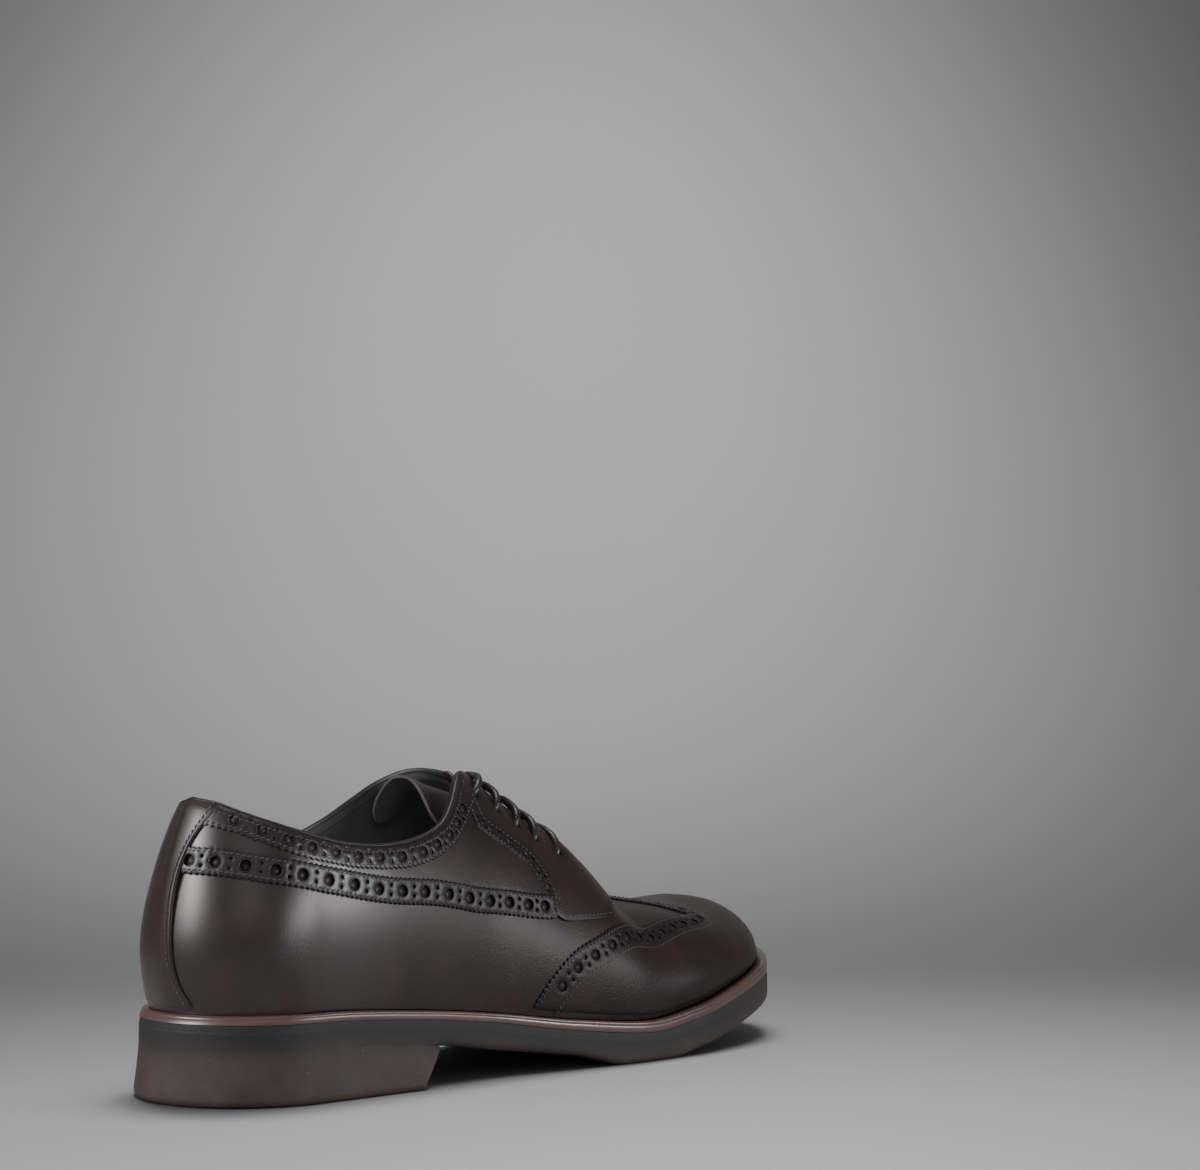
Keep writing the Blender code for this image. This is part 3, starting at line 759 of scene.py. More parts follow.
def cut_leather(name, outline, holes, low, top, materials, spacing=1.7, roll=0.45, seam=None):
    """Closed piece of leather cut to an outline, with holes punched through and softly rolled edges.

    The outline and holes are rings of turn and height. `low` and `top` give the lift of the underside and
    of the face for arrays of turn and height. Edges on the line turn = seam are left open to be joined.
    """
    middle = outline[0].mean(), outline[1].mean()
    along, up = last_tangents(*middle)
    scale = np.array([np.linalg.norm(along), np.linalg.norm(up)])
    rings = [np.column_stack(ring) * scale for ring in [outline, *holes]]
    lips = []
    for ring in rings:
        run = np.roll(ring, -3, axis=0) - np.roll(ring, 3, axis=0)
        lip = ring + unit(np.column_stack([-run[:, 1], run[:, 0]]) + 1e-9) * roll
        other = ring - unit(np.column_stack([-run[:, 1], run[:, 0]]) + 1e-9) * roll
        inward = inside_ring(ring, lip).mean() > 0.5
        lips.append(lip if inward == (ring is rings[0]) else other)
    edge = np.concatenate(rings)
    lattice_x = np.arange(edge[:, 0].min(), edge[:, 0].max(), spacing)
    lattice_y = np.arange(edge[:, 1].min(), edge[:, 1].max(), spacing * 0.87)
    field = np.stack(np.meshgrid(lattice_x, lattice_y, indexing="ij"), -1)
    field[:, ::2, 0] += spacing / 2
    field = field.reshape(-1, 2)
    on_rim = np.ones(len(edge), bool)
    if seam is not None:
        on_rim = np.abs(edge[:, 0] - seam * scale[0]) > 1e-3
        field = field[np.abs(field[:, 0] - seam * scale[0]) > 0.5 * spacing]
        lips = [lip[np.abs(lip[:, 0] - seam * scale[0]) > 1.5 * roll] for lip in lips]
    flat = np.pad(field, ((0, 0), (0, 1)))
    field = field[nearest(flat, np.pad(np.concatenate([edge, *lips]), ((0, 0), (0, 1)))) > 0.55 * spacing]
    lip_points = np.concatenate(lips)
    clear = nearest(np.pad(lip_points, ((0, 0), (0, 1))), np.pad(edge, ((0, 0), (0, 1)))) > 0.6 * roll
    points = np.concatenate([edge, lip_points[clear], field])
    borders = []
    first = 0
    for ring in rings:
        borders += [(first + i, first + (i + 1) % len(ring)) for i in range(len(ring))]
        first += len(ring)
    cut = geometry.delaunay_2d_cdt([Vector(point) for point in points], borders, [], 0, 1e-5)
    flat = np.array([tuple(point) for point in cut[0]])
    triangles = np.array([list(face) for face in cut[2] if len(face) == 3])
    centres = flat[triangles].mean(1)
    keep = inside_ring(rings[0], centres)
    for ring in rings[1:]:
        near = np.abs(centres - ring.mean(0)).max(1) < np.ptp(ring, axis=0).max()
        keep[near] &= ~inside_ring(ring, centres[near])
    triangles = triangles[keep]
    used, triangles = np.unique(triangles, return_inverse=True)
    triangles = triangles.reshape(-1, 3)
    turn, height = (flat[used] / scale).T
    bare = last_point(turn, height)
    rims = last_point(*(edge[on_rim] / scale).T)
    foot = low(turn, height)
    from_edge = nearest(bare, rims)
    face = top(turn, height) - 0.22 * np.exp(-(from_edge / roll) ** 2)
    # Darkening near cut edges and holes: burnish, with painted shade where pieces overlap and inside the
    # holes.
    burnish = np.tile(np.exp(-(from_edge / BURNISH_AND_SHADE_REACH) ** 2), 2)
    count = len(used)
    points = np.concatenate([lifted(turn, height, face), lifted(turn, height, foot)])
    faces = [list(tri) for tri in triangles] + [[c + count, b + count, a + count] for a, b, c in triangles]
    sides = {}
    for a, b, c in triangles:
        for pair in ((a, b), (b, c), (c, a)):
            if pair[::-1] in sides:
                del sides[pair[::-1]]
            else:
                sides[pair] = True
    for a, b in sides:
        on_seam = seam is not None and abs(turn[a] - seam) < 1e-4 and abs(turn[b] - seam) < 1e-4
        if not on_seam:
            faces.append([b, a, a + count, b + count])
    return add_mesh(name, points, faces, materials, merge=0.03, edges=burnish)


def steady(value):
    """A lift that is the same all over a piece."""
    return lambda turn, height: np.full(np.shape(turn), value)


def even_places(line, pitch, first):
    """Places at even steps along a line, the first one a given way along it."""
    turn, height = even(*line, 0.25)
    points = last_point(turn, height)
    run = np.concatenate([[0.0], np.cumsum(np.linalg.norm(np.diff(points, axis=0), axis=1))])
    at = np.arange(first, run[-1] - first, pitch)
    return np.interp(at, run, turn), np.interp(at, run, height)


def pinholes(places, reach):
    """A pair of pinholes between each two holes of a row."""
    turn, height = places
    points = last_point(turn, height)
    middle = (turn[1:] + turn[:-1]) / 2, (height[1:] + height[:-1]) / 2
    across = np.cross(last_normal(*middle), unit(np.diff(points, axis=0)))
    pairs = []
    for sense in (-1, 1):
        pairs += list(zip(*moved(*middle, across * sense * reach)))
    return pairs


def grown_outline(turns, grow):
    """The feather outline at some turns, moved out by grow(x), as x and y."""
    step = 0.002
    foot = feather(turns)
    tangent = feather(turns + step) - feather(turns - step)
    outward = unit(np.stack([-tangent[:, 1], tangent[:, 0]], -1))
    return foot[:, :2] + outward * grow(foot[:, 0])[:, None]


def ring(grow, height):
    """Closed ring round the sole, moved out by grow(x) and at height(x)."""
    plan = grown_outline(np.linspace(-np.pi, np.pi, 300, endpoint=False), grow)
    return np.column_stack([plan, height(plan[:, 0])])


def inset(distance):
    """A ring's grow that stays the same distance inside the feather outline."""
    return lambda x: np.full_like(x, -distance)


def ring_walls(rings, closed):
    """Faces between rings that follow each other."""
    size = len(rings[0])
    pairs = list(zip(range(len(rings) - 1), range(1, len(rings))))
    if closed:
        pairs.append((len(rings) - 1, 0))
    faces = []
    for lower, upper in pairs:
        for i in range(size):
            k = (i + 1) % size
            faces.append([lower * size + i, lower * size + k, upper * size + k, upper * size + i])
    return faces


def ring_cap(size, first):
    """Faces across a ring, from each lateral point to the medial point of the same section."""
    half = size // 2
    faces = [[first, first + 1, first + size - 1]]
    for i in range(1, half - 1):
        faces.append([first + i, first + i + 1, first + size - i - 1, first + size - i])
    faces.append([first + half - 1, first + half, first + half + 1])
    return faces


def welt_foot(x):
    return feather_height(x) - 0.3 - welt_thickness(x)


def store_depth(item):
    """Keep how far each point lies below the welt, for the sole's colour and the painted shade under the
    welt.
    """
    attribute = item.data.attributes.new("below_welt", "FLOAT", "POINT")
    places = np.array([vertex.co for vertex in item.data.vertices]) / MM + MIDDLE
    attribute.data.foreach_set("value", welt_foot(places[:, 0]) - places[:, 2])


def tube(name, path, across, up, shape, materials):
    """Closed tube: `shape` is a ring of (across, up) sizes carried along the path."""
    sides = len(shape)
    points = []
    for point, sideways, upward in zip(path, across, up):
        points += [point + sideways * a + upward * b for a, b in shape]
    faces = []
    for i in range(len(path) - 1):
        for k in range(sides):
            n = (k + 1) % sides
            faces.append([i * sides + k, i * sides + n, (i + 1) * sides + n, (i + 1) * sides + k])
    faces.append(list(range(sides))[::-1])
    last = (len(path) - 1) * sides
    faces.append([last + k for k in range(sides)])
    return add_mesh(name, np.array(points), faces, materials, sharp=60.0)


def rounded_route(points, spacing):
    """Smooth route through a list of places."""
    points = np.array(points, float)
    steps = np.linalg.norm(np.diff(points, axis=0), axis=1)
    run = np.concatenate([[0.0], np.cumsum(steps)])
    at = np.linspace(0, run[-1], int(run[-1] / spacing))
    return np.column_stack([smooth(run, points[:, k])(at) for k in range(3)])


def carried_frames(path):
    """Two directions across a path, carried along it without twist."""
    run = unit(np.gradient(path, axis=0))
    across = [unit(np.cross(run[0], UPWARD))]
    for direction in run[1:]:
        straight = across[-1] - direction * (across[-1] @ direction)
        across.append(unit(straight))
    across = np.array(across)
    return across, np.cross(run, across)


# Shader groups and materials


def new_group(name, inputs, outputs):
    """Empty shader group with named sockets."""
    group = bpy.data.node_groups.new(name, "ShaderNodeTree")
    for socket, kind, value in inputs:
        made = group.interface.new_socket(name=socket, in_out="INPUT", socket_type=kind)
        made.default_value = value
    for socket, kind in outputs:
        group.interface.new_socket(name=socket, in_out="OUTPUT", socket_type=kind)
    start = group.nodes.new("NodeGroupInput")
    end = group.nodes.new("NodeGroupOutput")
    return group, start, end


def add_node(tree, kind, links=None, **settings):
    """Node with its settings; links maps an input's name or number to a socket or a plain value."""
    node = tree.nodes.new(kind)
    for key, value in settings.items():
        setattr(node, key, value)
    for key, value in (links or {}).items():
        if isinstance(value, bpy.types.NodeSocket):
            tree.links.new(value, node.inputs[key])
        else:
            node.inputs[key].default_value = value
    return node


def noise(tree, place, scale, detail=2.0, roughness=0.5):
    return add_node(tree, "ShaderNodeTexNoise",
                    {"Vector": place, "Scale": scale, "Detail": detail, "Roughness": roughness})


def math(tree, operation, first, second=0.0):
    return add_node(tree, "ShaderNodeMath", {0: first, 1: second}, operation=operation).outputs[0]


def rise_of(tree, value, low, high):
    """Soft 0 to 1 rise of a value between two limits."""
    links = {"Value": value, "From Min": low, "From Max": high}
    node = add_node(tree, "ShaderNodeMapRange", links, interpolation_type="SMOOTHSTEP")
    return node.outputs["Result"]


def blend_colour(tree, share, first, second):
    node = add_node(tree, "ShaderNodeMix", data_type="RGBA")
    for socket, value in (("Factor_Float", share), ("A_Color", first), ("B_Color", second)):
        target = next(item for item in node.inputs if item.identifier == socket)
        if isinstance(value, bpy.types.NodeSocket):
            tree.links.new(value, target)
        else:
            target.default_value = value
    return next(item for item in node.outputs if item.identifier == "Result_Color")


def grain_group():
    """Fine pebble of the leather's grain with a few long creases, as a height."""
    group, start, end = new_group(
        "leather_grain",
        [("Place", "NodeSocketVector", (0, 0, 0)), ("Pebble", "NodeSocketFloat", 1500.0),
         ("Waviness", "NodeSocketFloat", 0.03)],
        [("Height", "NodeSocketFloat"), ("Pores", "NodeSocketFloat")])
    place = start.outputs["Place"]
    pebble = add_node(group, "ShaderNodeTexVoronoi",
                      {"Vector": place, "Scale": start.outputs["Pebble"]}, feature="SMOOTH_F1")
    fine = noise(group, place, 2600.0, 3.0)
    wave = noise(group, place, 75.0, 2.0)
    pores = rise_of(group, pebble.outputs["Distance"], 0.15, 0.75)
    low = math(group, "MULTIPLY", wave.outputs["Fac"], start.outputs["Waviness"])
    grain = math(group, "MULTIPLY", fine.outputs["Fac"], 0.35)
    height = math(group, "ADD", math(group, "ADD", low, grain), math(group, "MULTIPLY", pores, -0.5))
    group.links.new(height, end.inputs["Height"])
    group.links.new(pores, end.inputs["Pores"])
    return group


def burnish_and_shade_group():
    """Hand-burnished colour in clouds of a darker and a redder brown, darkened along cut edges by burnish and
    painted shade.

    The polish is thin behind the heel's side and fades to the toe.
    """
    group, start, end = new_group(
        "burnish",
        [("Place", "NodeSocketVector", (0, 0, 0)), ("Ground", "NodeSocketColor", (0.03, 0.014, 0.012, 1)),
         ("Dark", "NodeSocketColor", (0.008, 0.006, 0.006, 1)),
         ("Warm", "NodeSocketColor", (0.05, 0.02, 0.017, 1)),
         ("Edge", "NodeSocketFloat", 0.0), ("Shine", "NodeSocketFloat", 0.4),
         ("Wax", "NodeSocketFloat", 0.8), ("Fade", "NodeSocketFloat", 0.8)],
        [("Color", "NodeSocketColor"), ("Roughness", "NodeSocketFloat"), ("Coat", "NodeSocketFloat")])
    place = start.outputs["Place"]
    cloud = noise(group, place, 22.0, 3.0, 0.55)
    patch = noise(group, place, 55.0, 4.0, 0.6)
    dark_share = math(group, "MULTIPLY", rise_of(group, cloud.outputs["Fac"], 0.45, 0.75), 0.75)
    warm_share = math(group, "MULTIPLY", rise_of(group, patch.outputs["Fac"], 0.45, 0.75), 0.7)
    warm = blend_colour(group, warm_share, start.outputs["Ground"], start.outputs["Warm"])
    # Darker along cut edges: burnish, with painted shade where the pieces meet.
    dark_share = math(group, "MAXIMUM", dark_share, math(group, "MULTIPLY", start.outputs["Edge"], 0.85))
    colour = blend_colour(group, dark_share, warm, start.outputs["Dark"])
    uneven = math(group, "MULTIPLY", math(group, "SUBTRACT", patch.outputs["Fac"], 0.5), 0.16)
    along = add_node(group, "ShaderNodeSeparateXYZ", {0: place}).outputs["X"]
    first = math(group, "MULTIPLY", rise_of(group, along, -0.106, -0.066), 0.78)
    second = math(group, "MULTIPLY", rise_of(group, along, -0.066, 0.01), 0.22)
    forward = math(group, "MULTIPLY", math(group, "ADD", first, second), start.outputs["Fade"])
    dull_end = rise_of(group, along, -0.122, -0.105)
    dull = math(group, "SUBTRACT", rise_of(group, along, -0.132, -0.122), dull_end)
    rough = math(group, "ADD", start.outputs["Shine"], uneven)
    wax = math(group, "MULTIPLY", start.outputs["Wax"], math(group, "SUBTRACT", 1.0, forward))
    wax = math(group, "MULTIPLY", wax, math(group, "SUBTRACT", 1.0, math(group, "MULTIPLY", dull, 0.55)))
    group.links.new(colour, end.inputs["Color"])
    group.links.new(rough, end.inputs["Roughness"])
    group.links.new(wax, end.inputs["Coat"])
    return group


def speck_group():
    """Moulded rubber: fine tooth, light dust specks and faint clouds."""
    group, start, end = new_group(
        "rubber_speck",
        [("Place", "NodeSocketVector", (0, 0, 0)), ("Ground", "NodeSocketColor", (0.06, 0.03, 0.026, 1)),
         ("Dust", "NodeSocketColor", (0.2, 0.17, 0.16, 1))],
        [("Color", "NodeSocketColor"), ("Height", "NodeSocketFloat"), ("Roughness", "NodeSocketFloat")])
    place = start.outputs["Place"]
    tooth = noise(group, place, 1500.0, 3.0, 0.6)
    cloud = noise(group, place, 60.0, 4.0, 0.6)
    flecks = add_node(group, "ShaderNodeTexVoronoi", {"Vector": place, "Scale": 420.0})
    chance = noise(group, place, 130.0, 1.0)
    fleck = math(group, "SUBTRACT", 1.0, rise_of(group, flecks.outputs["Distance"], 0.05, 0.16))
    fleck = math(group, "MULTIPLY", fleck, rise_of(group, chance.outputs["Fac"], 0.56, 0.66))
    tone = math(group, "MULTIPLY", rise_of(group, cloud.outputs["Fac"], 0.4, 0.8), 0.16)
    clouded = blend_colour(group, tone, start.outputs["Ground"], start.outputs["Dust"])
    colour = blend_colour(group, math(group, "MULTIPLY", fleck, 0.6), clouded, start.outputs["Dust"])
    rough = math(group, "ADD", 0.55, math(group, "MULTIPLY", tooth.outputs["Fac"], 0.2))
    group.links.new(colour, end.inputs["Color"])
    group.links.new(tooth.outputs["Fac"], end.inputs["Height"])
    group.links.new(rough, end.inputs["Roughness"])
    return group


def use_group(tree, name, build, links):
    """Node of a shader group, which is built when it is first needed."""
    group = bpy.data.node_groups.get(name) or build()
    return add_node(tree, "ShaderNodeGroup", links, node_tree=group)


def new_material(name):
    material = bpy.data.materials.new(name)
    material.use_nodes = True
    tree = material.node_tree
    shader = tree.nodes["Principled BSDF"]
    place = add_node(tree, "ShaderNodeTexCoord").outputs["Object"]
    return material, tree, shader, place


def bump(tree, shader, height, strength, distance):
    node = add_node(tree, "ShaderNodeBump", {"Height": height, "Strength": strength, "Distance": distance})
    tree.links.new(node.outputs["Normal"], shader.inputs["Normal"])


def leather_material(name, ground, dark, warm, shine, coat=0.0, fade=0.0, gloss=0.18, mirror=0.5,
                     grain=0.12):
    """Polished leather with burnished clouds, edges darkened by burnish and painted shade, pebbled grain and
    a wax coat.
    """
    found = bpy.data.materials.get(name)
    if found:
        return found
    material, tree, shader, place = new_material(name)
    # Nearness to a cut edge, which darkens the colour: burnish with painted shade.
    edge = add_node(tree, "ShaderNodeAttribute", attribute_name="near_edge").outputs["Fac"]
    colour = use_group(tree, "burnish", burnish_and_shade_group,
                       {"Place": place, "Ground": (*ground, 1), "Dark": (*dark, 1), "Warm": (*warm, 1),
                        "Edge": edge, "Shine": shine, "Wax": coat, "Fade": fade})
    grain_node = use_group(tree, "leather_grain", grain_group, {"Place": place})
    tree.links.new(colour.outputs["Color"], shader.inputs["Base Color"])
    tree.links.new(colour.outputs["Roughness"], shader.inputs["Roughness"])
    tree.links.new(colour.outputs["Coat"], shader.inputs["Coat Weight"])
    shader.inputs["Coat Roughness"].default_value = gloss
    shader.inputs["Specular IOR Level"].default_value = mirror
    bump(tree, shader, grain_node.outputs["Height"], grain, 0.0002)
    return material


def rubber_material(looks):
    """Rubber of sole and heel, darker just below the welt, where the rubber's darker edge carries painted
    shade under the welt, and redder further down and at the toe.
    """
    found = bpy.data.materials.get("moulded_rubber")
    if found:
        return found
    material, tree, shader, place = new_material("moulded_rubber")
    speck = use_group(tree, "rubber_speck", speck_group,
                      {"Place": place, "Ground": (*looks.heel, 1), "Dust": (*looks.dust, 1)})
    depth = add_node(tree, "ShaderNodeAttribute", attribute_name="below_welt").outputs["Fac"]
    cloud = noise(tree, place, 45.0, 3.0)
    uneven = math(tree, "MULTIPLY", math(tree, "SUBTRACT", cloud.outputs["Fac"], 0.5), 7.0)
    # Darker just below the welt and redder deeper down: the rubber's darker edge with painted shade under the
    # welt.
    share = rise_of(tree, math(tree, "ADD", depth, uneven), 3.5, 13.0)
    along = add_node(tree, "ShaderNodeSeparateXYZ", {0: place}).outputs["X"]
    toe = math(tree, "MULTIPLY", rise_of(tree, along, 0.07, 0.125), 0.55)
    reddened = math(tree, "MAXIMUM", share, toe)
    colour = blend_colour(tree, reddened, (*looks.shade, 1), speck.outputs["Color"])
    tree.links.new(colour, shader.inputs["Base Color"])
    tree.links.new(speck.outputs["Roughness"], shader.inputs["Roughness"])
    shader.inputs["Specular IOR Level"].default_value = 0.35
    bump(tree, shader, speck.outputs["Height"], 0.5, 0.0003)
    return material


def upper_leather():
    looks = bpy.context.scene.derby_leather
    return leather_material("polished_leather", looks.ground, looks.dark, looks.warm, 0.42,
                            coat=looks.coat, fade=0.92, gloss=looks.roughness, mirror=0.12, grain=0.42)


def trim_leather():
    looks = bpy.context.scene.derby_leather
    ground = [0.9 * value for value in looks.ground]
    return leather_material("burnished_trim", ground, looks.dark, looks.ground, 0.4,
                            coat=0.75, fade=0.92, gloss=0.35, mirror=0.15, grain=0.3)


def binding_leather():
    looks = bpy.context.scene.derby_leather
    return leather_material("topline_leather", looks.dark, looks.dark, looks.ground, 0.4, mirror=0.35)


def backing_leather():
    looks = bpy.context.scene.derby_leather
    return leather_material("hole_backing", looks.ground, looks.dark, looks.ground, 0.5,
                            coat=0.3, fade=0.9, gloss=0.4, mirror=0.25)


def lining_leather():
    # Grey rather than black: painted light inside the shoe.
    looks = bpy.context.scene.derby_leather
    shade = [0.8 * value for value in looks.lining]
    return leather_material("black_lining", looks.lining, shade, looks.lining, 0.55, mirror=0.35)


def raw_edge():
    looks = bpy.context.scene.derby_leather
    return leather_material("cut_edge", looks.cut, looks.cut, looks.cut, 0.6, mirror=0.3)


def thread_material():
    looks = bpy.context.scene.derby_leather
    found = bpy.data.materials.get("waxed_thread")
    if found:
        return found
    material, tree, shader, place = new_material("waxed_thread")
    twist = add_node(tree, "ShaderNodeTexWave", {"Vector": place, "Scale": 900.0}, wave_type="BANDS")
    pale = [1.7 * value for value in looks.thread]
    colour = blend_colour(tree, twist.outputs["Fac"], (*looks.thread, 1), (*pale, 1))
    tree.links.new(colour, shader.inputs["Base Color"])
    shader.inputs["Roughness"].default_value = 0.42
    bump(tree, shader, twist.outputs["Fac"], 0.4, 0.0001)
    return material


def lace_material():
    looks = bpy.context.scene.derby_lace
    material, tree, shader, place = new_material("waxed_lace")
    braid = add_node(tree, "ShaderNodeTexVoronoi", {"Vector": place, "Scale": 900.0})
    cloud = noise(tree, place, 220.0)
    pale = [1.8 * value for value in looks.colour]
    colour = blend_colour(tree, cloud.outputs["Fac"], (*looks.colour, 1), (*pale, 1))
    tree.links.new(colour, shader.inputs["Base Color"])
    shader.inputs["Roughness"].default_value = 0.36
    bump(tree, shader, braid.outputs["Distance"], 0.35, 0.0002)
    return material


# Geometry Nodes for stitches and punch rims


def new_tree(name, inputs):
    tree = bpy.data.node_groups.new(name, "GeometryNodeTree")
    tree.is_modifier = True
    tree.interface.new_socket(name="Geometry", in_out="INPUT", socket_type="NodeSocketGeometry")
    for socket, kind in inputs:
        tree.interface.new_socket(name=socket, in_out="INPUT", socket_type=kind)
    tree.interface.new_socket(name="Geometry", in_out="OUTPUT", socket_type="NodeSocketGeometry")
    return tree, tree.nodes.new("NodeGroupInput").outputs, tree.nodes.new("NodeGroupOutput").inputs


def standing_rotation(tree, along):
    """Rotation with Z out of the leather and X along a direction."""
    outward = add_node(tree, "GeometryNodeInputNamedAttribute", {"Name": "outward"}, data_type="FLOAT_VECTOR")
    upright = add_node(tree, "FunctionNodeAlignRotationToVector", {"Vector": outward.outputs[0]}, axis="Z")
    links = {"Rotation": upright.outputs[0], "Vector": along}
    return add_node(tree, "FunctionNodeAlignRotationToVector", links, axis="X", pivot_axis="Z").outputs[0]


def realized(tree, instances, material):
    """Instances made real, shaded smooth and given their material."""
    real = add_node(tree, "GeometryNodeRealizeInstances", {"Geometry": instances})
    soft = add_node(tree, "GeometryNodeSetShadeSmooth", {"Geometry": real.outputs[0]})
    dyed = add_node(tree, "GeometryNodeSetMaterial", {"Geometry": soft.outputs[0], "Material": material})
    return dyed.outputs[0]


def stitch_tree():
    """Stitches laid at even steps along the edges of a mesh."""
    tree, sockets, output = new_tree("stitch_row", [
        ("Pitch", "NodeSocketFloat"), ("Length", "NodeSocketFloat"), ("Thickness", "NodeSocketFloat"),
        ("Lean", "NodeSocketFloat"), ("Material", "NodeSocketMaterial")])
    curve = add_node(tree, "GeometryNodeMeshToCurve", {"Mesh": sockets["Geometry"]})
    row = add_node(tree, "GeometryNodeResampleCurve",
                   {"Curve": curve.outputs[0], "Length": sockets["Pitch"]}, mode="LENGTH")
    rotation = standing_rotation(tree, add_node(tree, "GeometryNodeInputTangent").outputs[0])
    lean = add_node(tree, "FunctionNodeAxisAngleToRotation", {"Axis": (0, 0, 1), "Angle": sockets["Lean"]})
    turned = add_node(tree, "FunctionNodeRotateRotation",
                      {"Rotation": rotation, "Rotate By": lean.outputs[0]}, rotation_space="LOCAL")
    bead = add_node(tree, "GeometryNodeMeshUVSphere", {"Segments": 8, "Rings": 5, "Radius": 0.5})
    size = add_node(tree, "ShaderNodeCombineXYZ",
                    {"X": sockets["Length"], "Y": sockets["Thickness"], "Z": sockets["Thickness"]})
    stitches = add_node(tree, "GeometryNodeInstanceOnPoints",
                        {"Points": row.outputs[0], "Instance": bead.outputs["Mesh"],
                         "Rotation": turned.outputs[0], "Scale": size.outputs[0]})
    tree.links.new(realized(tree, stitches.outputs[0], sockets["Material"]), output["Geometry"])
    return tree


def rim_tree():
    """Rolled rims round punched holes and the dark backing in them, one for each point of a mesh."""
    tree, sockets, output = new_tree("punch_rims", [
        ("Radius", "NodeSocketFloat"), ("Roll", "NodeSocketFloat"), ("Depth", "NodeSocketFloat"),
        ("Material", "NodeSocketMaterial"), ("Backing", "NodeSocketMaterial")])
    circle = "GeometryNodeCurvePrimitiveCircle"
    hole = add_node(tree, circle, {"Resolution": 20, "Radius": sockets["Radius"]})
    roll = add_node(tree, circle, {"Resolution": 6, "Radius": sockets["Roll"]})
    rolled = add_node(tree, "GeometryNodeCurveToMesh",
                      {"Curve": hole.outputs["Curve"], "Profile Curve": roll.outputs["Curve"]})
    disc = add_node(tree, "GeometryNodeMeshCylinder",
                    {"Vertices": 16, "Radius": sockets["Radius"], "Depth": BACKING * MM})
    below = add_node(tree, "ShaderNodeMath", {0: sockets["Depth"], 1: -1.0}, operation="MULTIPLY")
    drop = add_node(tree, "ShaderNodeCombineXYZ", {"Z": below.outputs[0]})
    sunk = add_node(tree, "GeometryNodeTransform",
                    {"Geometry": disc.outputs["Mesh"], "Translation": drop.outputs[0]})
    rotation = standing_rotation(tree, (1.0, 0.0, 0.0))
    points = add_node(tree, "GeometryNodeMeshToPoints", {"Mesh": sockets["Geometry"]})
    both = add_node(tree, "GeometryNodeJoinGeometry")
    for shape, material in ((rolled, "Material"), (sunk, "Backing")):
        laid = add_node(tree, "GeometryNodeInstanceOnPoints",
                        {"Points": points.outputs[0], "Instance": shape.outputs[0], "Rotation": rotation})
        tree.links.new(realized(tree, laid.outputs[0], sockets[material]), both.inputs[0])
    tree.links.new(both.outputs[0], output["Geometry"])
    return tree


def grown(name, tree, points, outward, edges, settings):
    """Plain mesh that a Geometry Nodes tree grows on points or edges given in millimetres on the last."""
    seed = bpy.data.meshes.new(name + "_seed")
    seed.from_pydata([tuple(point) for point in placed(points)], edges, [])
    facing = seed.attributes.new("outward", "FLOAT_VECTOR", "POINT")
    facing.data.foreach_set("vector", np.asarray(outward, float).ravel())
    item = bpy.data.objects.new(name, seed)
    bpy.context.scene.collection.objects.link(item)
    modifier = item.modifiers.new(name, "NODES")
    modifier.node_group = tree
    for socket in tree.interface.items_tree:
        if socket.in_out == "INPUT" and socket.name in settings:
            modifier[socket.identifier] = settings[socket.name]
    depsgraph = bpy.context.evaluated_depsgraph_get()
    mesh = bpy.data.meshes.new_from_object(item.evaluated_get(depsgraph))
    item.modifiers.remove(modifier)
    item.data = mesh
    mesh.name = name
    bpy.data.meshes.remove(seed)
    return item


STITCH_ROWS = []         # rows of points, outward directions and the piece that they hold
RIMS = []                # places, outward directions, radii and depths of punched holes


def sew(line, lift, group):
    """Note a stitch row along a line on the last."""
    turn, height = line
    lift = np.broadcast_to(np.asarray(lift, float), np.shape(turn))
    STITCH_ROWS.append((lifted(turn, height, lift), last_normal(turn, height), group))


def rim(places, lift, radius, depth):
    """Note rolled rims at punched holes and the depth of the backing behind them."""
    for turn, height in places:
        RIMS.append((lifted(turn, height, lift), last_normal(turn, height), (radius, depth)))


class LeatherLooks(bpy.types.PropertyGroup):
    """Colours and polish of the leather and thread."""

    ground: bpy.props.FloatVectorProperty(
        name="Leather", description="Main brown of the leather", subtype="COLOR",
        default=(0.026, 0.0145, 0.0148))
    # This dark brown also paints the shade along cut edges, together with the burnish there.
    dark: bpy.props.FloatVectorProperty(
        name="Burnish", description="Darker burnished clouds", subtype="COLOR",
        default=(0.010, 0.0075, 0.0082))
    warm: bpy.props.FloatVectorProperty(
        name="Warm brown", description="Redder brown where the polish is thin", subtype="COLOR",
        default=(0.042, 0.0185, 0.0172))
    # The lining and sock are black leather; this mid grey is painted light falling into the shoe.
    lining: bpy.props.FloatVectorProperty(
        name="Lining", description="Lining and sock", subtype="COLOR", default=(0.16, 0.157, 0.157))
    cut: bpy.props.FloatVectorProperty(
        name="Cut edge", description="Raw cut edge of the tongue", subtype="COLOR",
        default=(0.055, 0.046, 0.043))
    thread: bpy.props.FloatVectorProperty(
        name="Thread", description="Waxed thread of the stitches", subtype="COLOR",
        default=(0.042, 0.036, 0.036))
    roughness: bpy.props.FloatProperty(
        name="Roughness", description="Softness of the leather's gloss", default=0.30, min=0.05, max=1.0,
        subtype="FACTOR")
    coat: bpy.props.FloatProperty(
        name="Wax coat", description="Strength of the wax coat", default=0.85, min=0.0, max=1.0,
        subtype="FACTOR")


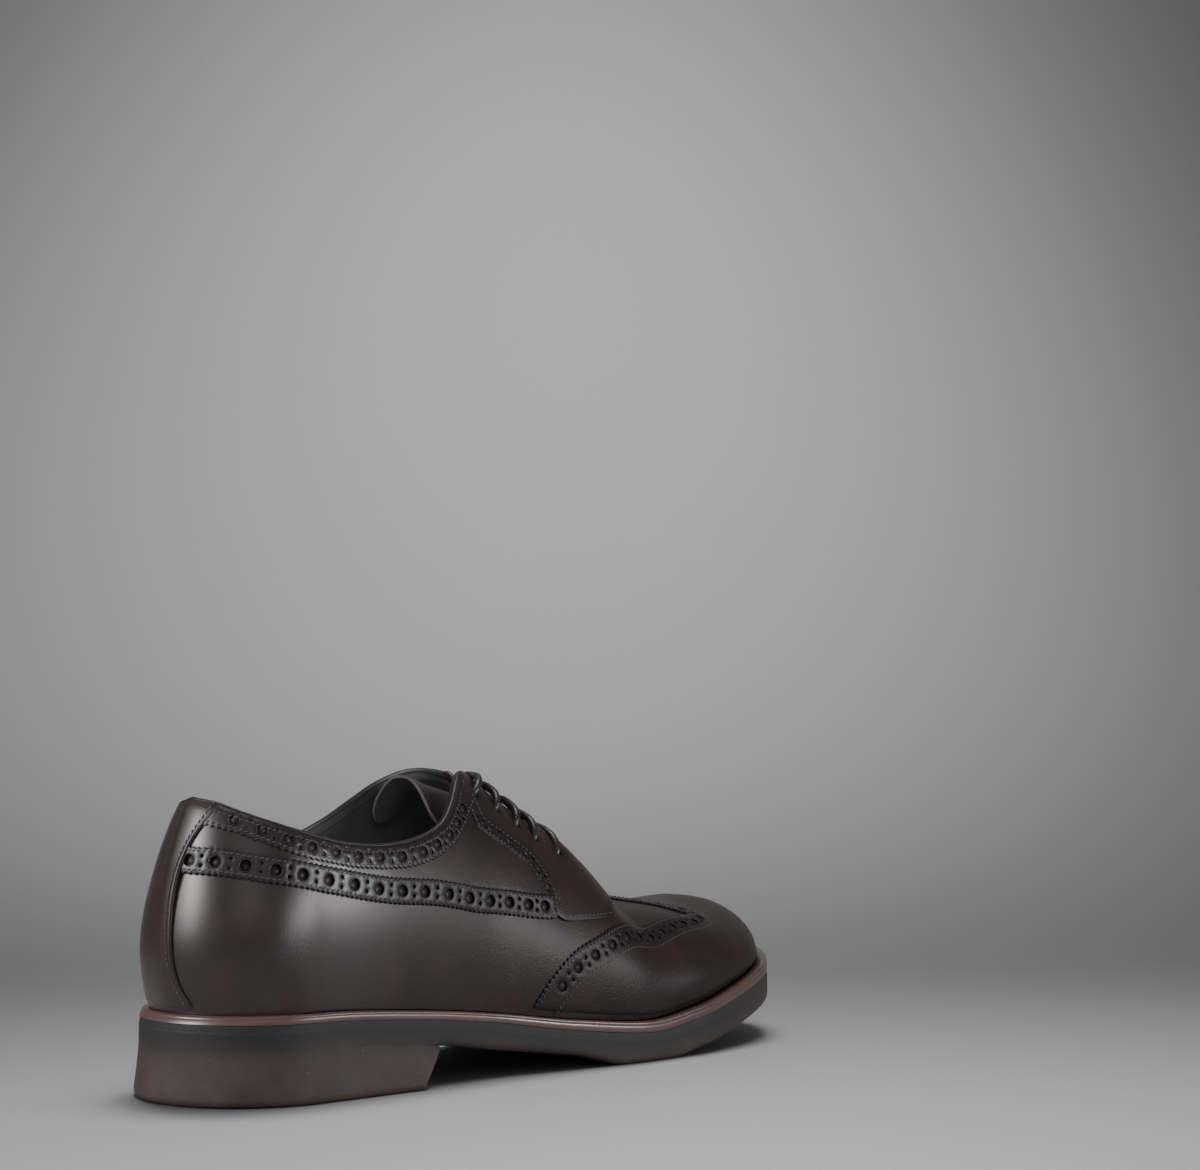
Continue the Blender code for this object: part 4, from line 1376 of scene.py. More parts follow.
class TrimSizes(bpy.types.PropertyGroup):
    """Sizes of the punching, gimping and stitching, in millimetres."""

    hole: bpy.props.FloatProperty(name="Hole", description="Diameter of a punched hole in mm", default=4.0)
    collar_hole: bpy.props.FloatProperty(
        name="Collar hole", description="Diameter of a punched hole under the topline in mm", default=3.6)
    facing_hole: bpy.props.FloatProperty(
        name="Facing hole", description="Diameter of a punched hole on the facing in mm", default=3.0)
    pinhole: bpy.props.FloatProperty(name="Pinhole", description="Diameter of a pinhole in mm", default=1.3)
    pin_reach: bpy.props.FloatProperty(
        name="Pinhole reach", description="How far a pinhole lies from the row's middle in mm", default=1.55)
    pitch: bpy.props.FloatProperty(
        name="Hole pitch", description="Step between the wing's holes in mm", default=9.3)
    half_width: bpy.props.FloatProperty(
        name="Band half width", description="Half the width of a punched band in mm", default=3.8)
    tooth: bpy.props.FloatProperty(
        name="Tooth pitch", description="Step of the gimped teeth in mm", default=2.1)
    tooth_depth: bpy.props.FloatProperty(
        name="Tooth depth", description="Depth of the gimped teeth in mm", default=0.75)
    stitch_pitch: bpy.props.FloatProperty(
        name="Stitch pitch", description="Step of the stitches in mm", default=1.9)
    stitch_length: bpy.props.FloatProperty(
        name="Stitch", description="Length of a stitch in mm", default=1.5)
    thread: bpy.props.FloatProperty(name="Thread", description="Thickness of the thread in mm", default=0.5)
    lean: bpy.props.FloatProperty(
        name="Stitch lean", description="Slant of a stitch in its row", default=0.3, subtype="ANGLE",
        unit="ROTATION")


class SoleLooks(bpy.types.PropertyGroup):
    """Colours of the welt, sole and heel."""

    welt: bpy.props.FloatVectorProperty(
        name="Welt", description="Welt leather", subtype="COLOR", default=(0.090, 0.045, 0.037))
    # Darker colour just below the welt: the rubber's darker edge together with painted shade under the welt.
    shade: bpy.props.FloatVectorProperty(
        name="Sole edge", description="Darker rubber below the welt", subtype="COLOR",
        default=(0.0135, 0.0128, 0.0135))
    heel: bpy.props.FloatVectorProperty(
        name="Heel", description="Heel rubber", subtype="COLOR", default=(0.042, 0.0242, 0.0226))
    dust: bpy.props.FloatVectorProperty(
        name="Dust", description="Light specks in the rubber", subtype="COLOR", default=(0.16, 0.13, 0.12))


class LaceLooks(bpy.types.PropertyGroup):
    """Size and colour of the lace."""

    thickness: bpy.props.FloatProperty(name="Lace", description="Thickness of the lace in mm", default=2.9)
    sag: bpy.props.FloatProperty(
        name="Sag", description="How far a slack bar slides down the instep in mm", default=6.0)
    colour: bpy.props.FloatVectorProperty(
        name="Colour", description="Waxed lace", subtype="COLOR", default=(0.011, 0.0066, 0.0062))


class StageLooks(bpy.types.PropertyGroup):
    """Backdrop and lights."""

    backdrop: bpy.props.FloatVectorProperty(
        name="Backdrop", description="Grey of the sweep", subtype="COLOR", default=(0.72, 0.71, 0.71))
    key: bpy.props.FloatProperty(
        name="Key light", description="Low soft light on the outer side", default=1.55, unit="POWER")
    side: bpy.props.FloatProperty(
        name="Side light", description="Soft light on the heel's back", default=3.1, unit="POWER")
    overhead: bpy.props.FloatProperty(
        name="Overhead light", description="Soft light from above", default=0.42, unit="POWER")
    floor: bpy.props.FloatProperty(
        name="Floor light", description="Light on the floor before the shoe", default=1.2, unit="POWER")
    fill: bpy.props.FloatProperty(
        name="Fill light", description="Weak light from above the camera", default=0.32, unit="POWER")
    back: bpy.props.FloatProperty(
        name="Backdrop light", description="Light on the backdrop", default=38.0, unit="POWER")
    world: bpy.props.FloatProperty(name="Room light", description="Grey light from all round", default=0.06)


class DERBY_OT_upper(bpy.types.Operator):
    """Hollow upper on the last, leather outside and lining inside"""

    bl_idname = "derby.upper"
    bl_label = "Upper"

    def execute(self, context):
        angles = np.linspace(0, np.pi, 170)
        turns = np.concatenate([-angles[::-1], angles[1:]])
        share = np.linspace(0, 1, 61)[:, None]
        height = share * topline(turns)[None]
        turn = np.broadcast_to(turns, height.shape)
        outside = lifted(turn, height, np.zeros_like(height))
        inside = lifted(turn, height, np.full_like(height, -WALL))
        inside[0, :, 2] = outside[0, :, 2]
        item = grid_shell("upper_leather", inside, outside, [upper_leather(), lining_leather()])
        dress(item, "leather", "upper")
        return {"FINISHED"}


class DERBY_OT_quarters(bpy.types.Operator):
    """Quarter panels from the long band up to the topline"""

    bl_idname = "derby.quarters"
    bl_label = "Quarters"

    def execute(self, context):
        trim = context.scene.derby_trim
        for side, word in ((LATERAL, "lateral"), (MEDIAL, "medial")):
            foot = beside(drawn(QUARTER_BAND, side, 1.5), trim.half_width - 1.0, UPWARD)
            front = beside(drawn(FACING_REAR, side, 1.5), QUARTER_UNDER, FORWARD)
            front = front[0][:-10], front[1][:-10]
            top = drawn(raised(TOP_EDGE, side, slice(1, 13)), side, 1.5)
            top = top[0], top[1] - 0.004
            outline = joined(foot, backwards(front), backwards(top))
            item = cut_leather("quarter_panel_" + word, outline, [], steady(LEATHER_FOOT),
                               steady(QUARTER_TOP), [upper_leather()], spacing=2.2)
            dress(item, "leather", "quarter_" + word)
        return {"FINISHED"}


class DERBY_OT_bands(bpy.types.Operator):
    """Long punched bands on the quarters and punched bands under the topline"""

    bl_idname = "derby.bands"
    bl_label = "Punched bands"

    def execute(self, context):
        for side, word in ((LATERAL, "lateral"), (MEDIAL, "medial")):
            self.long_band(context.scene.derby_trim, side, word)
            self.collar_band(context.scene.derby_trim, side, word)
        return {"FINISHED"}

    def long_band(self, trim, side, word):
        middle = drawn(started(QUARTER_BAND, side), side, trim.tooth / 4)
        lower = gimped(beside(middle, -trim.half_width, UPWARD), -trim.tooth_depth, UPWARD)
        upper = gimped(beside(middle, trim.half_width, UPWARD), trim.tooth_depth, UPWARD)
        band_height = smooth(angle_of(QUARTER_BAND["x"]), QUARTER_BAND["height"])
        bare = (QUARTER_HOLES > BAND_MEDIAL + 5) | (side == LATERAL)
        sections = angle_of(QUARTER_HOLES[bare])
        places = side * sections, band_height(sections)
        holes = list(zip(*places))
        cuts = [circle_on_last(*place, trim.hole / 2, 22) for place in holes]
        cuts += [circle_on_last(*place, trim.pinhole / 2, 10) for place in pinholes(places, trim.pin_reach)]

        def top(turn, height):
            above = height - band_height(np.abs(turn))
            return BAND_FOOT_TOP + (BAND_TOP - BAND_FOOT_TOP) * ease(-0.03, 0.03, above)

        item = cut_leather("long_band_" + word, joined(lower, backwards(upper)), cuts, steady(LEATHER_FOOT),
                           top, [trim_leather()], spacing=1.3)
        dress(item, "leather", "quarter_band_" + word)
        rim(holes, (BAND_TOP + BAND_FOOT_TOP) / 2 - 0.1, trim.hole / 2, BAND_SINK)
        seam = trim.half_width - BAND_SEAM
        sew(clear_of_strip(beside(middle, -seam, UPWARD)), BAND_FOOT_TOP + STITCH_RISE, "bands")
        sew(clear_of_strip(beside(middle, seam, UPWARD)), BAND_TOP + STITCH_RISE, "bands")

    def collar_band(self, trim, side, word):
        row = raised(COLLAR_HOLES, side)
        middle = drawn(started(row, side), side, trim.tooth / 4)
        lower = gimped(beside(middle, 0.4 - trim.half_width, UPWARD), -trim.tooth_depth, UPWARD)
        upper = drawn(started(raised(TOP_EDGE, side, slice(1, 14)), side), side, 1.0)
        upper = upper[0], upper[1] - 0.004
        first = 2 if side == LATERAL else 3
        places = side * angle_of(row["x"][first:-1]), row["height"][first:-1]
        holes = list(zip(*places))
        cuts = [circle_on_last(*place, trim.collar_hole / 2, 20) for place in holes]
        cuts += [circle_on_last(*place, trim.pinhole / 2, 10) for place in pinholes(places, trim.pin_reach)]

        def top(turn, height):
            below = topline(turn) - height
            return COLLAR_EDGE_TOP + (BAND_TOP - COLLAR_EDGE_TOP) * ease(0.0, 0.035, below)

        item = cut_leather("collar_band_cut_" + word, joined(lower, backwards(upper)), cuts,
                           steady(COLLAR_FOOT), top, [trim_leather()], spacing=1.3)
        dress(item, "leather", "collar_band_" + word)
        rim(holes, BAND_TOP - 0.1, trim.collar_hole / 2, COLLAR_SINK)
        seam = 0.4 - trim.half_width + BAND_SEAM
        sew(clear_of_strip(beside(middle, seam, UPWARD)), BAND_TOP + STITCH_RISE, "bands")
        sew(clear_of_strip(beside(upper, -COLLAR_SEAM, UPWARD)), BAND_TOP - 0.2, "bands")


class DERBY_OT_facings(bpy.types.Operator):
    """Eyelet facings with their tabs, gimped rear edges and blind eyelets"""

    bl_idname = "derby.facings"
    bl_label = "Facings"

    def execute(self, context):
        trim = context.scene.derby_trim
        for side, word in ((LATERAL, "lateral"), (MEDIAL, "medial")):
            rear_line = drawn(FACING_REAR, side, trim.tooth / 4)
            rear = gimped(rear_line, -0.4 * trim.tooth_depth, FORWARD)
            foot = drawn(TAB_FOOT, side, 0.9)
            front = drawn(TAB_FRONT, side, 1.2)
            throat = drawn(raised(FACING_EDGE, side), side, 1.2)
            outline = joined(rear, foot, front, backwards(throat))
            places = side * angle_of(FACING_HOLES["x"]), FACING_HOLES["height"]
            holes = list(zip(*places))
            cuts = [circle_on_last(*place, trim.facing_hole / 2, 18) for place in holes]
            cuts += [circle_on_last(*place, trim.pinhole / 2.4, 9) for place in pinholes(places, 1.2)]
            eyes = list(zip(side * angle_of(EYELETS["x"]), EYELETS["height"]))
            cuts += [circle_on_last(*place, EYELET / 2, 16) for place in eyes]
            item = cut_leather("facing_cut_" + word, outline, cuts, steady(LEATHER_FOOT), self.face,
                               [upper_leather()], spacing=1.6)
            dress(item, "leather", "facing_" + word)
            rim(holes, FACING_TOP - 0.05, trim.facing_hole / 2, FACING_SINK)
            inner = rear_line[0][8:-4], rear_line[1][8:-4]
            rows = [beside(inner, reach, FORWARD) for reach in FACING_SEAMS]
            for line in rows + [beside(foot, TAB_SEAM, UPWARD)]:
                sew(line, self.face(*line) + STITCH_RISE, "facings")
        return {"FINISHED"}

    def face(self, turn, height):
        """Lift of the facing, fuller over the front of the throat."""
        x = feather(turn)[..., 0]
        full = ease(152, 168, x) * (1 - ease(178, 197, x)) * ease(0.5, 0.8, height)
        return FACING_TOP + FACING_BULGE * full


class DERBY_OT_toe_wing(bpy.types.Operator):
    """Wing-shaped toe cap with a gimped edge and a punched row"""

    bl_idname = "derby.toe_wing"
    bl_label = "Toe wing"

    def execute(self, context):
        trim = context.scene.derby_trim
        line = wing_line(trim.tooth / 4)
        low = WING_EDGE["height"][0]
        edge = gimped(line, -trim.tooth_depth, FORWARD)
        end_angle = angle_of(wing_edge(low))
        toeward = np.linspace(end_angle, np.pi, 90)
        medial_foot = -toeward, np.full(90, 2 - low)
        seam_heights = np.linspace(2 - low, low, 61)
        seam = np.full(61, -np.pi), seam_heights
        lateral_foot = -toeward[::-1], np.full(90, low)
        turn = np.concatenate([edge[0], medial_foot[0][1:], seam[0][1:], lateral_foot[0][1:-1]])
        height = np.concatenate([edge[1], medial_foot[1][1:], seam[1][1:], lateral_foot[1][1:-1]])
        row = mitred(beside(line, WING_ROW, FORWARD))
        row = row[0][16:-16], row[1][16:-16]
        places = even_places(row, trim.pitch, WING_FIRST)
        holes = list(zip(*places))
        cuts = [circle_on_last(*place, trim.hole * 0.47, 20) for place in holes]
        cuts += [circle_on_last(*place, trim.pinhole / 2, 10) for place in pinholes(places, trim.pin_reach)]
        item = cut_leather("toe_wing_cut", (turn, height), cuts, steady(LEATHER_FOOT), steady(WING_TOP),
                           [upper_leather()], spacing=1.8, seam=-np.pi)
        dress(item, "leather", "toe_wing")
        rim(holes, WING_TOP - 0.1, trim.hole * 0.47, WING_SINK)
        inner = line[0][6:-6], line[1][6:-6]
        for reach in WING_SEAMS:
            sew(mitred(beside(inner, reach, FORWARD)), WING_TOP + STITCH_RISE, "wing")
        return {"FINISHED"}


class DERBY_OT_back_strip(bpy.types.Operator):
    """Strip over the back seam with raised edges"""

    bl_idname = "derby.back_strip"
    bl_label = "Back strip"

    def execute(self, context):
        low = BACK_STRIP["height"][0]
        share = np.linspace(0, 1, 90)[:, None]
        heights = low + share * (BACK_STRIP["height"][-1] - low)
        across = np.sin(np.linspace(-np.pi / 2, np.pi / 2, 41))[None]
        inner = ease(-0.2, 0.6, across)
        angle = across * (strip_half_angle(heights) * (1 - inner) + STRIP_MEDIAL * inner)
        height = low + share * (top_edge(np.abs(angle)) - 0.006 - low)
        from_edge = (1 - np.abs(across)) * np.abs(angle[:, [0]]) * STRIP_ROUND
        edge_roll = 0.14 * np.exp(-((from_edge - 0.7) / 0.5) ** 2) - 0.4 * np.exp(-(from_edge / 0.3) ** 2)
        outside = lifted(angle, height, strip_top(heights) - 0.2 + edge_roll)
        inside = lifted(angle, height, np.full(angle.shape, LEATHER_FOOT))
        item = grid_shell("back_strip_leather", inside, outside, [upper_leather()])
        dress(item, "leather", "back_strip")
        fine = np.linspace(0.03, 0.565, 160)
        seam = STRIP_SEAM / STRIP_ROUND
        sew((seam - strip_half_angle(fine), fine), strip_top(fine) - 0.12, "strip")
        fine = np.linspace(0.03, float(top_edge(STRIP_MEDIAL)) - 0.035, 160)
        sew((np.full(160, STRIP_MEDIAL - seam), fine), strip_top(fine) - 0.12, "strip")
        return {"FINISHED"}


class DERBY_OT_topline(bpy.types.Operator):
    """Folded binding along the topline"""

    bl_idname = "derby.topline"
    bl_label = "Topline binding"

    def execute(self, context):
        rows = slice(0, 18)
        lateral = drawn(raised(TOP_EDGE, LATERAL, rows), LATERAL, 1.2)
        medial = drawn(raised(TOP_EDGE, MEDIAL, slice(0, 17)), MEDIAL, 1.2)
        turn = np.concatenate([lateral[0][::-1], medial[0][1:]])
        height = np.concatenate([lateral[1][::-1], medial[1][1:]])
        path = lifted(turn, height, -0.35 - 0.8 * inner_back(turn))
        outward = last_normal(turn, height)
        run = unit(np.gradient(path, axis=0))
        upward = np.cross(outward, run)
        upward *= np.sign(upward[:, 2:3])
        shape = np.array([(-1.5, -0.5), (-1.65, 0.0), (-1.3, 0.42), (-0.6, 0.62), (0.2, 0.65), (0.95, 0.48),
                          (1.35, 0.12), (1.42, -0.3), (1.15, -0.65), (0.4, -0.7)])
        item = tube("topline_binding", path, outward, upward, shape, [binding_leather()])
        dress(item, "leather")
        for sense in (LATERAL, MEDIAL):
            line = drawn(raised(TOP_EDGE, sense, rows), sense, 1.0)
            sew(beside(line, -LINING_SEAM, UPWARD), -WALL - STITCH_RISE, "lining")
        return {"FINISHED"}


class DERBY_OT_tongue(bpy.types.Operator):
    """Tongue under the facings with a rounded cut edge"""

    bl_idname = "derby.tongue"
    bl_label = "Tongue"

    def execute(self, context):
        sections = np.concatenate([np.linspace(101, 108, 15), np.linspace(110, 204, 48)])
        share = np.linspace(-1, 1, 57)[None]
        corner = np.clip((106.5 - sections) / 5.5, 0, 1)
        side = TONGUE_SIDE + 0.10 * (1 - np.sqrt(1 - corner ** 2))
        height = 1 + share * (1 - side)[:, None]
        turn = np.broadcast_to(-angle_of(sections)[:, None], height.shape)
        middle = np.sin(np.pi / 2 * (1 - np.abs(share)))
        loose = 1 - ease(104, 124, sections)[:, None]
        drop = tongue_drop(np.abs(turn)) * (loose + (1 - loose) * middle)
        under = np.full(turn.shape, -WALL - 0.6)
        outside = lifted(turn, height, under)
        inside = lifted(turn, height, under - TONGUE)
        outside[..., 2] -= drop
        inside[..., 2] -= drop
        materials = [trim_leather(), lining_leather(), raw_edge()]
        item = grid_shell("tongue_leather", inside, outside, materials, rim=2)
        dress(item, "leather", "tongue")
        return {"FINISHED"}


class DERBY_OT_lace(bpy.types.Operator):
    """One round lace: straight bars on the outside, its other runs hidden under the facings"""

    bl_idname = "derby.lace"
    bl_label = "Lace"

    def execute(self, context):
        looks = context.scene.derby_lace
        radius = looks.thickness / 2
        hidden = -WALL - 0.3
        route = []

        def bar(row, start):
            """Out of one eyelet, over both facings, a little down the slope, and into the other eyelet."""
            x, height = EYELETS["x"][row], EYELETS["height"][row]
            sag = looks.sag * LACE_BARS["slide"][row]
            slack_rise = LACE_BARS["rise"][row]
            edge = smooth(angle_of(FACING_EDGE["x"]), FACING_EDGE["height"])(angle_of(x + sag))
            over = (edge - height) / (2 - 2 * height)
            rest = FACING_TOP + 0.9 * radius
            stops = [(0.0, hidden), (0.004, 0.4), (0.03, FACING_TOP + 0.2), (0.09, rest + 0.1),
                     (0.6 * over, rest + 0.3), (over, rest - 0.3 + 0.4 * slack_rise),
                     (0.5 * (over + 0.5), rest - 1.8 + 0.9 * slack_rise)]
            middle = [(0.5, rest - 2.4 + slack_rise)]
            stops = stops + middle + [(1 - share, lift) for share, lift in stops[::-1]]
            for share, lift in stops:
                at = share if start == LATERAL else 1 - share
                slack = np.sin(np.pi * min(1, at / 0.6) / 2) * np.sin(np.pi * min(1, (1 - at) / 0.6) / 2)
                turn = -angle_of(x + sag * (slack if 0.01 < at < 0.99 else 0))
                route.append(lifted(turn, np.array(height + at * (2 - 2 * height)), lift))

        first_turn = -angle_of(EYELETS["x"][0] - 2)
        route.append(lifted(first_turn, np.array(EYELETS["height"][0]), hidden))
        for row, start in ((1, LATERAL), (3, MEDIAL), (4, LATERAL), (2, MEDIAL), (0, LATERAL)):
            bar(row, start)
        path = rounded_route(route, 0.7)
        across, up = carried_frames(path)
        angles = np.linspace(0, 2 * np.pi, 12, endpoint=False)
        shape = radius * np.column_stack([np.cos(angles), np.sin(angles)])
        item = tube("round_lace", path, across, up, shape, [lace_material()])
        dress(item, "lace", *[f"lace_bar_{number}" for number in range(1, 6)])
        return {"FINISHED"}


class DERBY_OT_sole(bpy.types.Operator):
    """Welt, sole and insole, with the sole's darker edge and painted shade under the welt"""

    bl_idname = "derby.sole"
    bl_label = "Welt and sole"

    def execute(self, context):
        looks = context.scene.derby_sole
        self.welt(looks)
        self.sole(looks)
        self.insole()
        return {"FINISHED"}

    def welt(self, looks):
        profile = [(-0.6, 0.0), (-0.1, 0.05), (0.0, 0.16), (0.02, 0.40), (0.0, 0.54), (-0.08, 0.60),
                   (-0.08, 0.63), (0.0, 0.68), (0.0, 0.80), (-0.12, 0.92), (-0.5, 0.99), (-1.1, 1.0),
                   (-2.6, 1.0), (-2.9, 0.94)]
        rings = []

        def lean(x):
            """How far the welt's top stands back from its foot, at heel and toe."""
            return ease(262, 295, x) + 1.6 * (1 - ease(5, 30, x))

        for step, share in profile:
            rings.append(ring(lambda x, step=step, share=share: sole_reach(x) + step - share * lean(x),
                              lambda x, share=share: welt_foot(x) + welt_thickness(x) * share))
        rings.append(ring(inset(WELT_SEAT), lambda x: welt_foot(x) + welt_thickness(x) * 0.94))
        rings.append(ring(inset(WELT_SEAT), welt_foot))
        leather = leather_material("burnished_welt", looks.welt, [0.5 * v for v in looks.welt],
                                   [1.25 * v for v in looks.welt], 0.42, coat=0.3)
        walls = ring_walls(rings, closed=True)
        item = add_mesh("welt_strip", np.concatenate(rings), walls, [leather], sharp=50.0)
        dress(item, "welt", "welt")

    def sole(self, looks):
        def foot(x):
            return welt_foot(x) - 0.05

        def free(x):
            return ease(HEEL_LENGTH - 4, HEEL_LENGTH + 4, x)

        bevel = [(-3.5, 0.0), (-1.6, 0.05), (-0.7, 0.5), (-0.2, 1.2), (0.0, 2.2)]
        rings = [ring(lambda x, s=step: sole_reach(x) + s * free(x), lambda x, u=up: tread_height(x) + u)
                 for step, up in bevel]
        for share in (0.3, 0.6, 0.9):
            rings.append(ring(sole_reach,
                              lambda x, s=share: (tread_height(x) + 2.2) * (1 - s) + (foot(x) - 2.6) * s))
        for step, depth in ((0.0, 2.6), (-0.05, 2.35), (-0.14, 2.2), (-0.16, 1.9), (-0.2, 1.0), (-0.45, 0.0)):
            rings.append(ring(lambda x, s=step: sole_reach(x) + s, lambda x, d=depth: foot(x) - d))
        rings.append(ring(inset(WELT_SEAT + 0.3), foot))
        rings.append(ring(inset(WELT_SEAT + 0.3), lambda x: feather_height(x) - 0.3))
        rubber = rubber_material(looks)
        size = len(rings[0])
        faces = ring_walls(rings, closed=False)
        faces += ring_cap(size, 0)
        faces += ring_cap(size, (len(rings) - 1) * size)
        item = add_mesh("sole_layers", np.concatenate(rings), faces, [rubber], sharp=35.0)
        store_depth(item)
        dress(item, "sole", "midsole", "outsole")

    def insole(self):
        inner = WALL + 0.6
        rings = [ring(inset(inner), feather_height),
                 ring(inset(inner), lambda x: feather_height(x) + INSOLE - 0.5),
                 ring(inset(inner + 0.6), lambda x: feather_height(x) + INSOLE)]
        size = len(rings[0])
        faces = ring_walls(rings, closed=False)
        faces += ring_cap(size, 0)
        faces += ring_cap(size, 2 * size)
        item = add_mesh("insole_sock", np.concatenate(rings), faces, [lining_leather()])
        dress(item, "lining", "insole")


class DERBY_OT_heel(bpy.types.Operator):
    """Heel block with a slanted breast and softened edges"""

    bl_idname = "derby.heel"
    bl_label = "Heel"

    def execute(self, context):
        looks = context.scene.derby_sole

        def spread(x):
            return BREAST_FLARE * np.clip((x - FLARE_START) / (FLARE_END - FLARE_START), 0, 1)

        profile = [(-2.6, 0.0), (-1.3, 0.12), (-0.5, 0.6), (-0.1, 1.5), (0.0, 2.6)]
        rings = []
        for step, z in profile:
            front = HEEL_LENGTH - BREAST_SLANT + step * 0.35
            rings.append(self.heel_ring(lambda x, s=step: sole_reach(x) + HEEL_FLARE + spread(x) + s, front,
                                        lambda x, z=z: np.full_like(x, z)))
        for share in (0.25, 0.5, 0.75, 1.0):
            front = HEEL_LENGTH - BREAST_SLANT * (1 - share) ** 1.3
            rings.append(self.heel_ring(
                lambda x, s=share: sole_reach(x) + (HEEL_FLARE + spread(x)) * (1 - s) ** 1.2, front,
                lambda x, s=share: 2.6 * (1 - s) + (tread_height(x) - 0.01) * s))
        size = len(rings[0])
        faces = ring_walls(rings, closed=False)
        for first in (0, (len(rings) - 1) * size):
            for i in range(size // 2):
                faces.append([first + i, first + i + 1, first + size - 2 - i, first + size - 1 - i])
        faces = [list(dict.fromkeys(face)) for face in faces]
        faces = [face for face in faces if len(face) > 2]
        rubber = rubber_material(looks)
        item = add_mesh("heel_block", np.concatenate(rings), faces, [rubber], sharp=50.0)
        store_depth(item)
        dress(item, "heel", "heel")
        return {"FINISHED"}

    def heel_ring(self, grow, front, height):
        """Heel outline up to the straight breast at x = front, from the lateral corner to the medial one."""
        loop = grown_outline(np.linspace(-angle_of(FLARE_END), angle_of(FLARE_END), 121), grow)
        corners = []
        for a, b in ((1, 0), (-2, -1)):
            slope = (loop[b] - loop[a]) / (loop[b, 0] - loop[a, 0])
            corners.append(loop[b] + slope * (front - loop[b, 0]))
        loop = np.vstack([corners[0], loop, corners[1]])
        return np.column_stack([loop, height(loop[:, 0])])


class DERBY_OT_stitches(bpy.types.Operator):
    """Stitch rows and rolled punch rims, grown with Geometry Nodes"""

    bl_idname = "derby.stitches"
    bl_label = "Stitches and punch rims"

    def execute(self, context):
        trim = context.scene.derby_trim
        tree = stitch_tree()
        settings = {"Pitch": trim.stitch_pitch * MM, "Length": trim.stitch_length * MM,
                    "Thickness": trim.thread * MM, "Lean": trim.lean, "Material": thread_material()}
        for group in sorted({row[2] for row in STITCH_ROWS}):
            points = []
            outward = []
            edges = []
            for row, normals, name in STITCH_ROWS:
                if name == group:
                    edges += [(len(points) + i, len(points) + i + 1) for i in range(len(row) - 1)]
                    points += list(row)
                    outward += list(normals)
            item = grown("stitches_" + group, tree, points, outward, edges, settings)
            dress(item, "leather")
        tree = rim_tree()
        for kind in sorted({row[2] for row in RIMS}):
            rows = [row for row in RIMS if row[2] == kind]
            radius, depth = kind
            settings = {"Radius": (radius + 0.05) * MM, "Roll": RIM_ROLL * MM, "Depth": depth * MM,
                        "Material": trim_leather(), "Backing": backing_leather()}
            name = f"punch_rims_{int(radius * 100)}"
            item = grown(name, tree, [row[0] for row in rows], [row[1] for row in rows], [], settings)
            dress(item, "leather")
        STITCH_ROWS.clear()
        RIMS.clear()
        return {"FINISHED"}


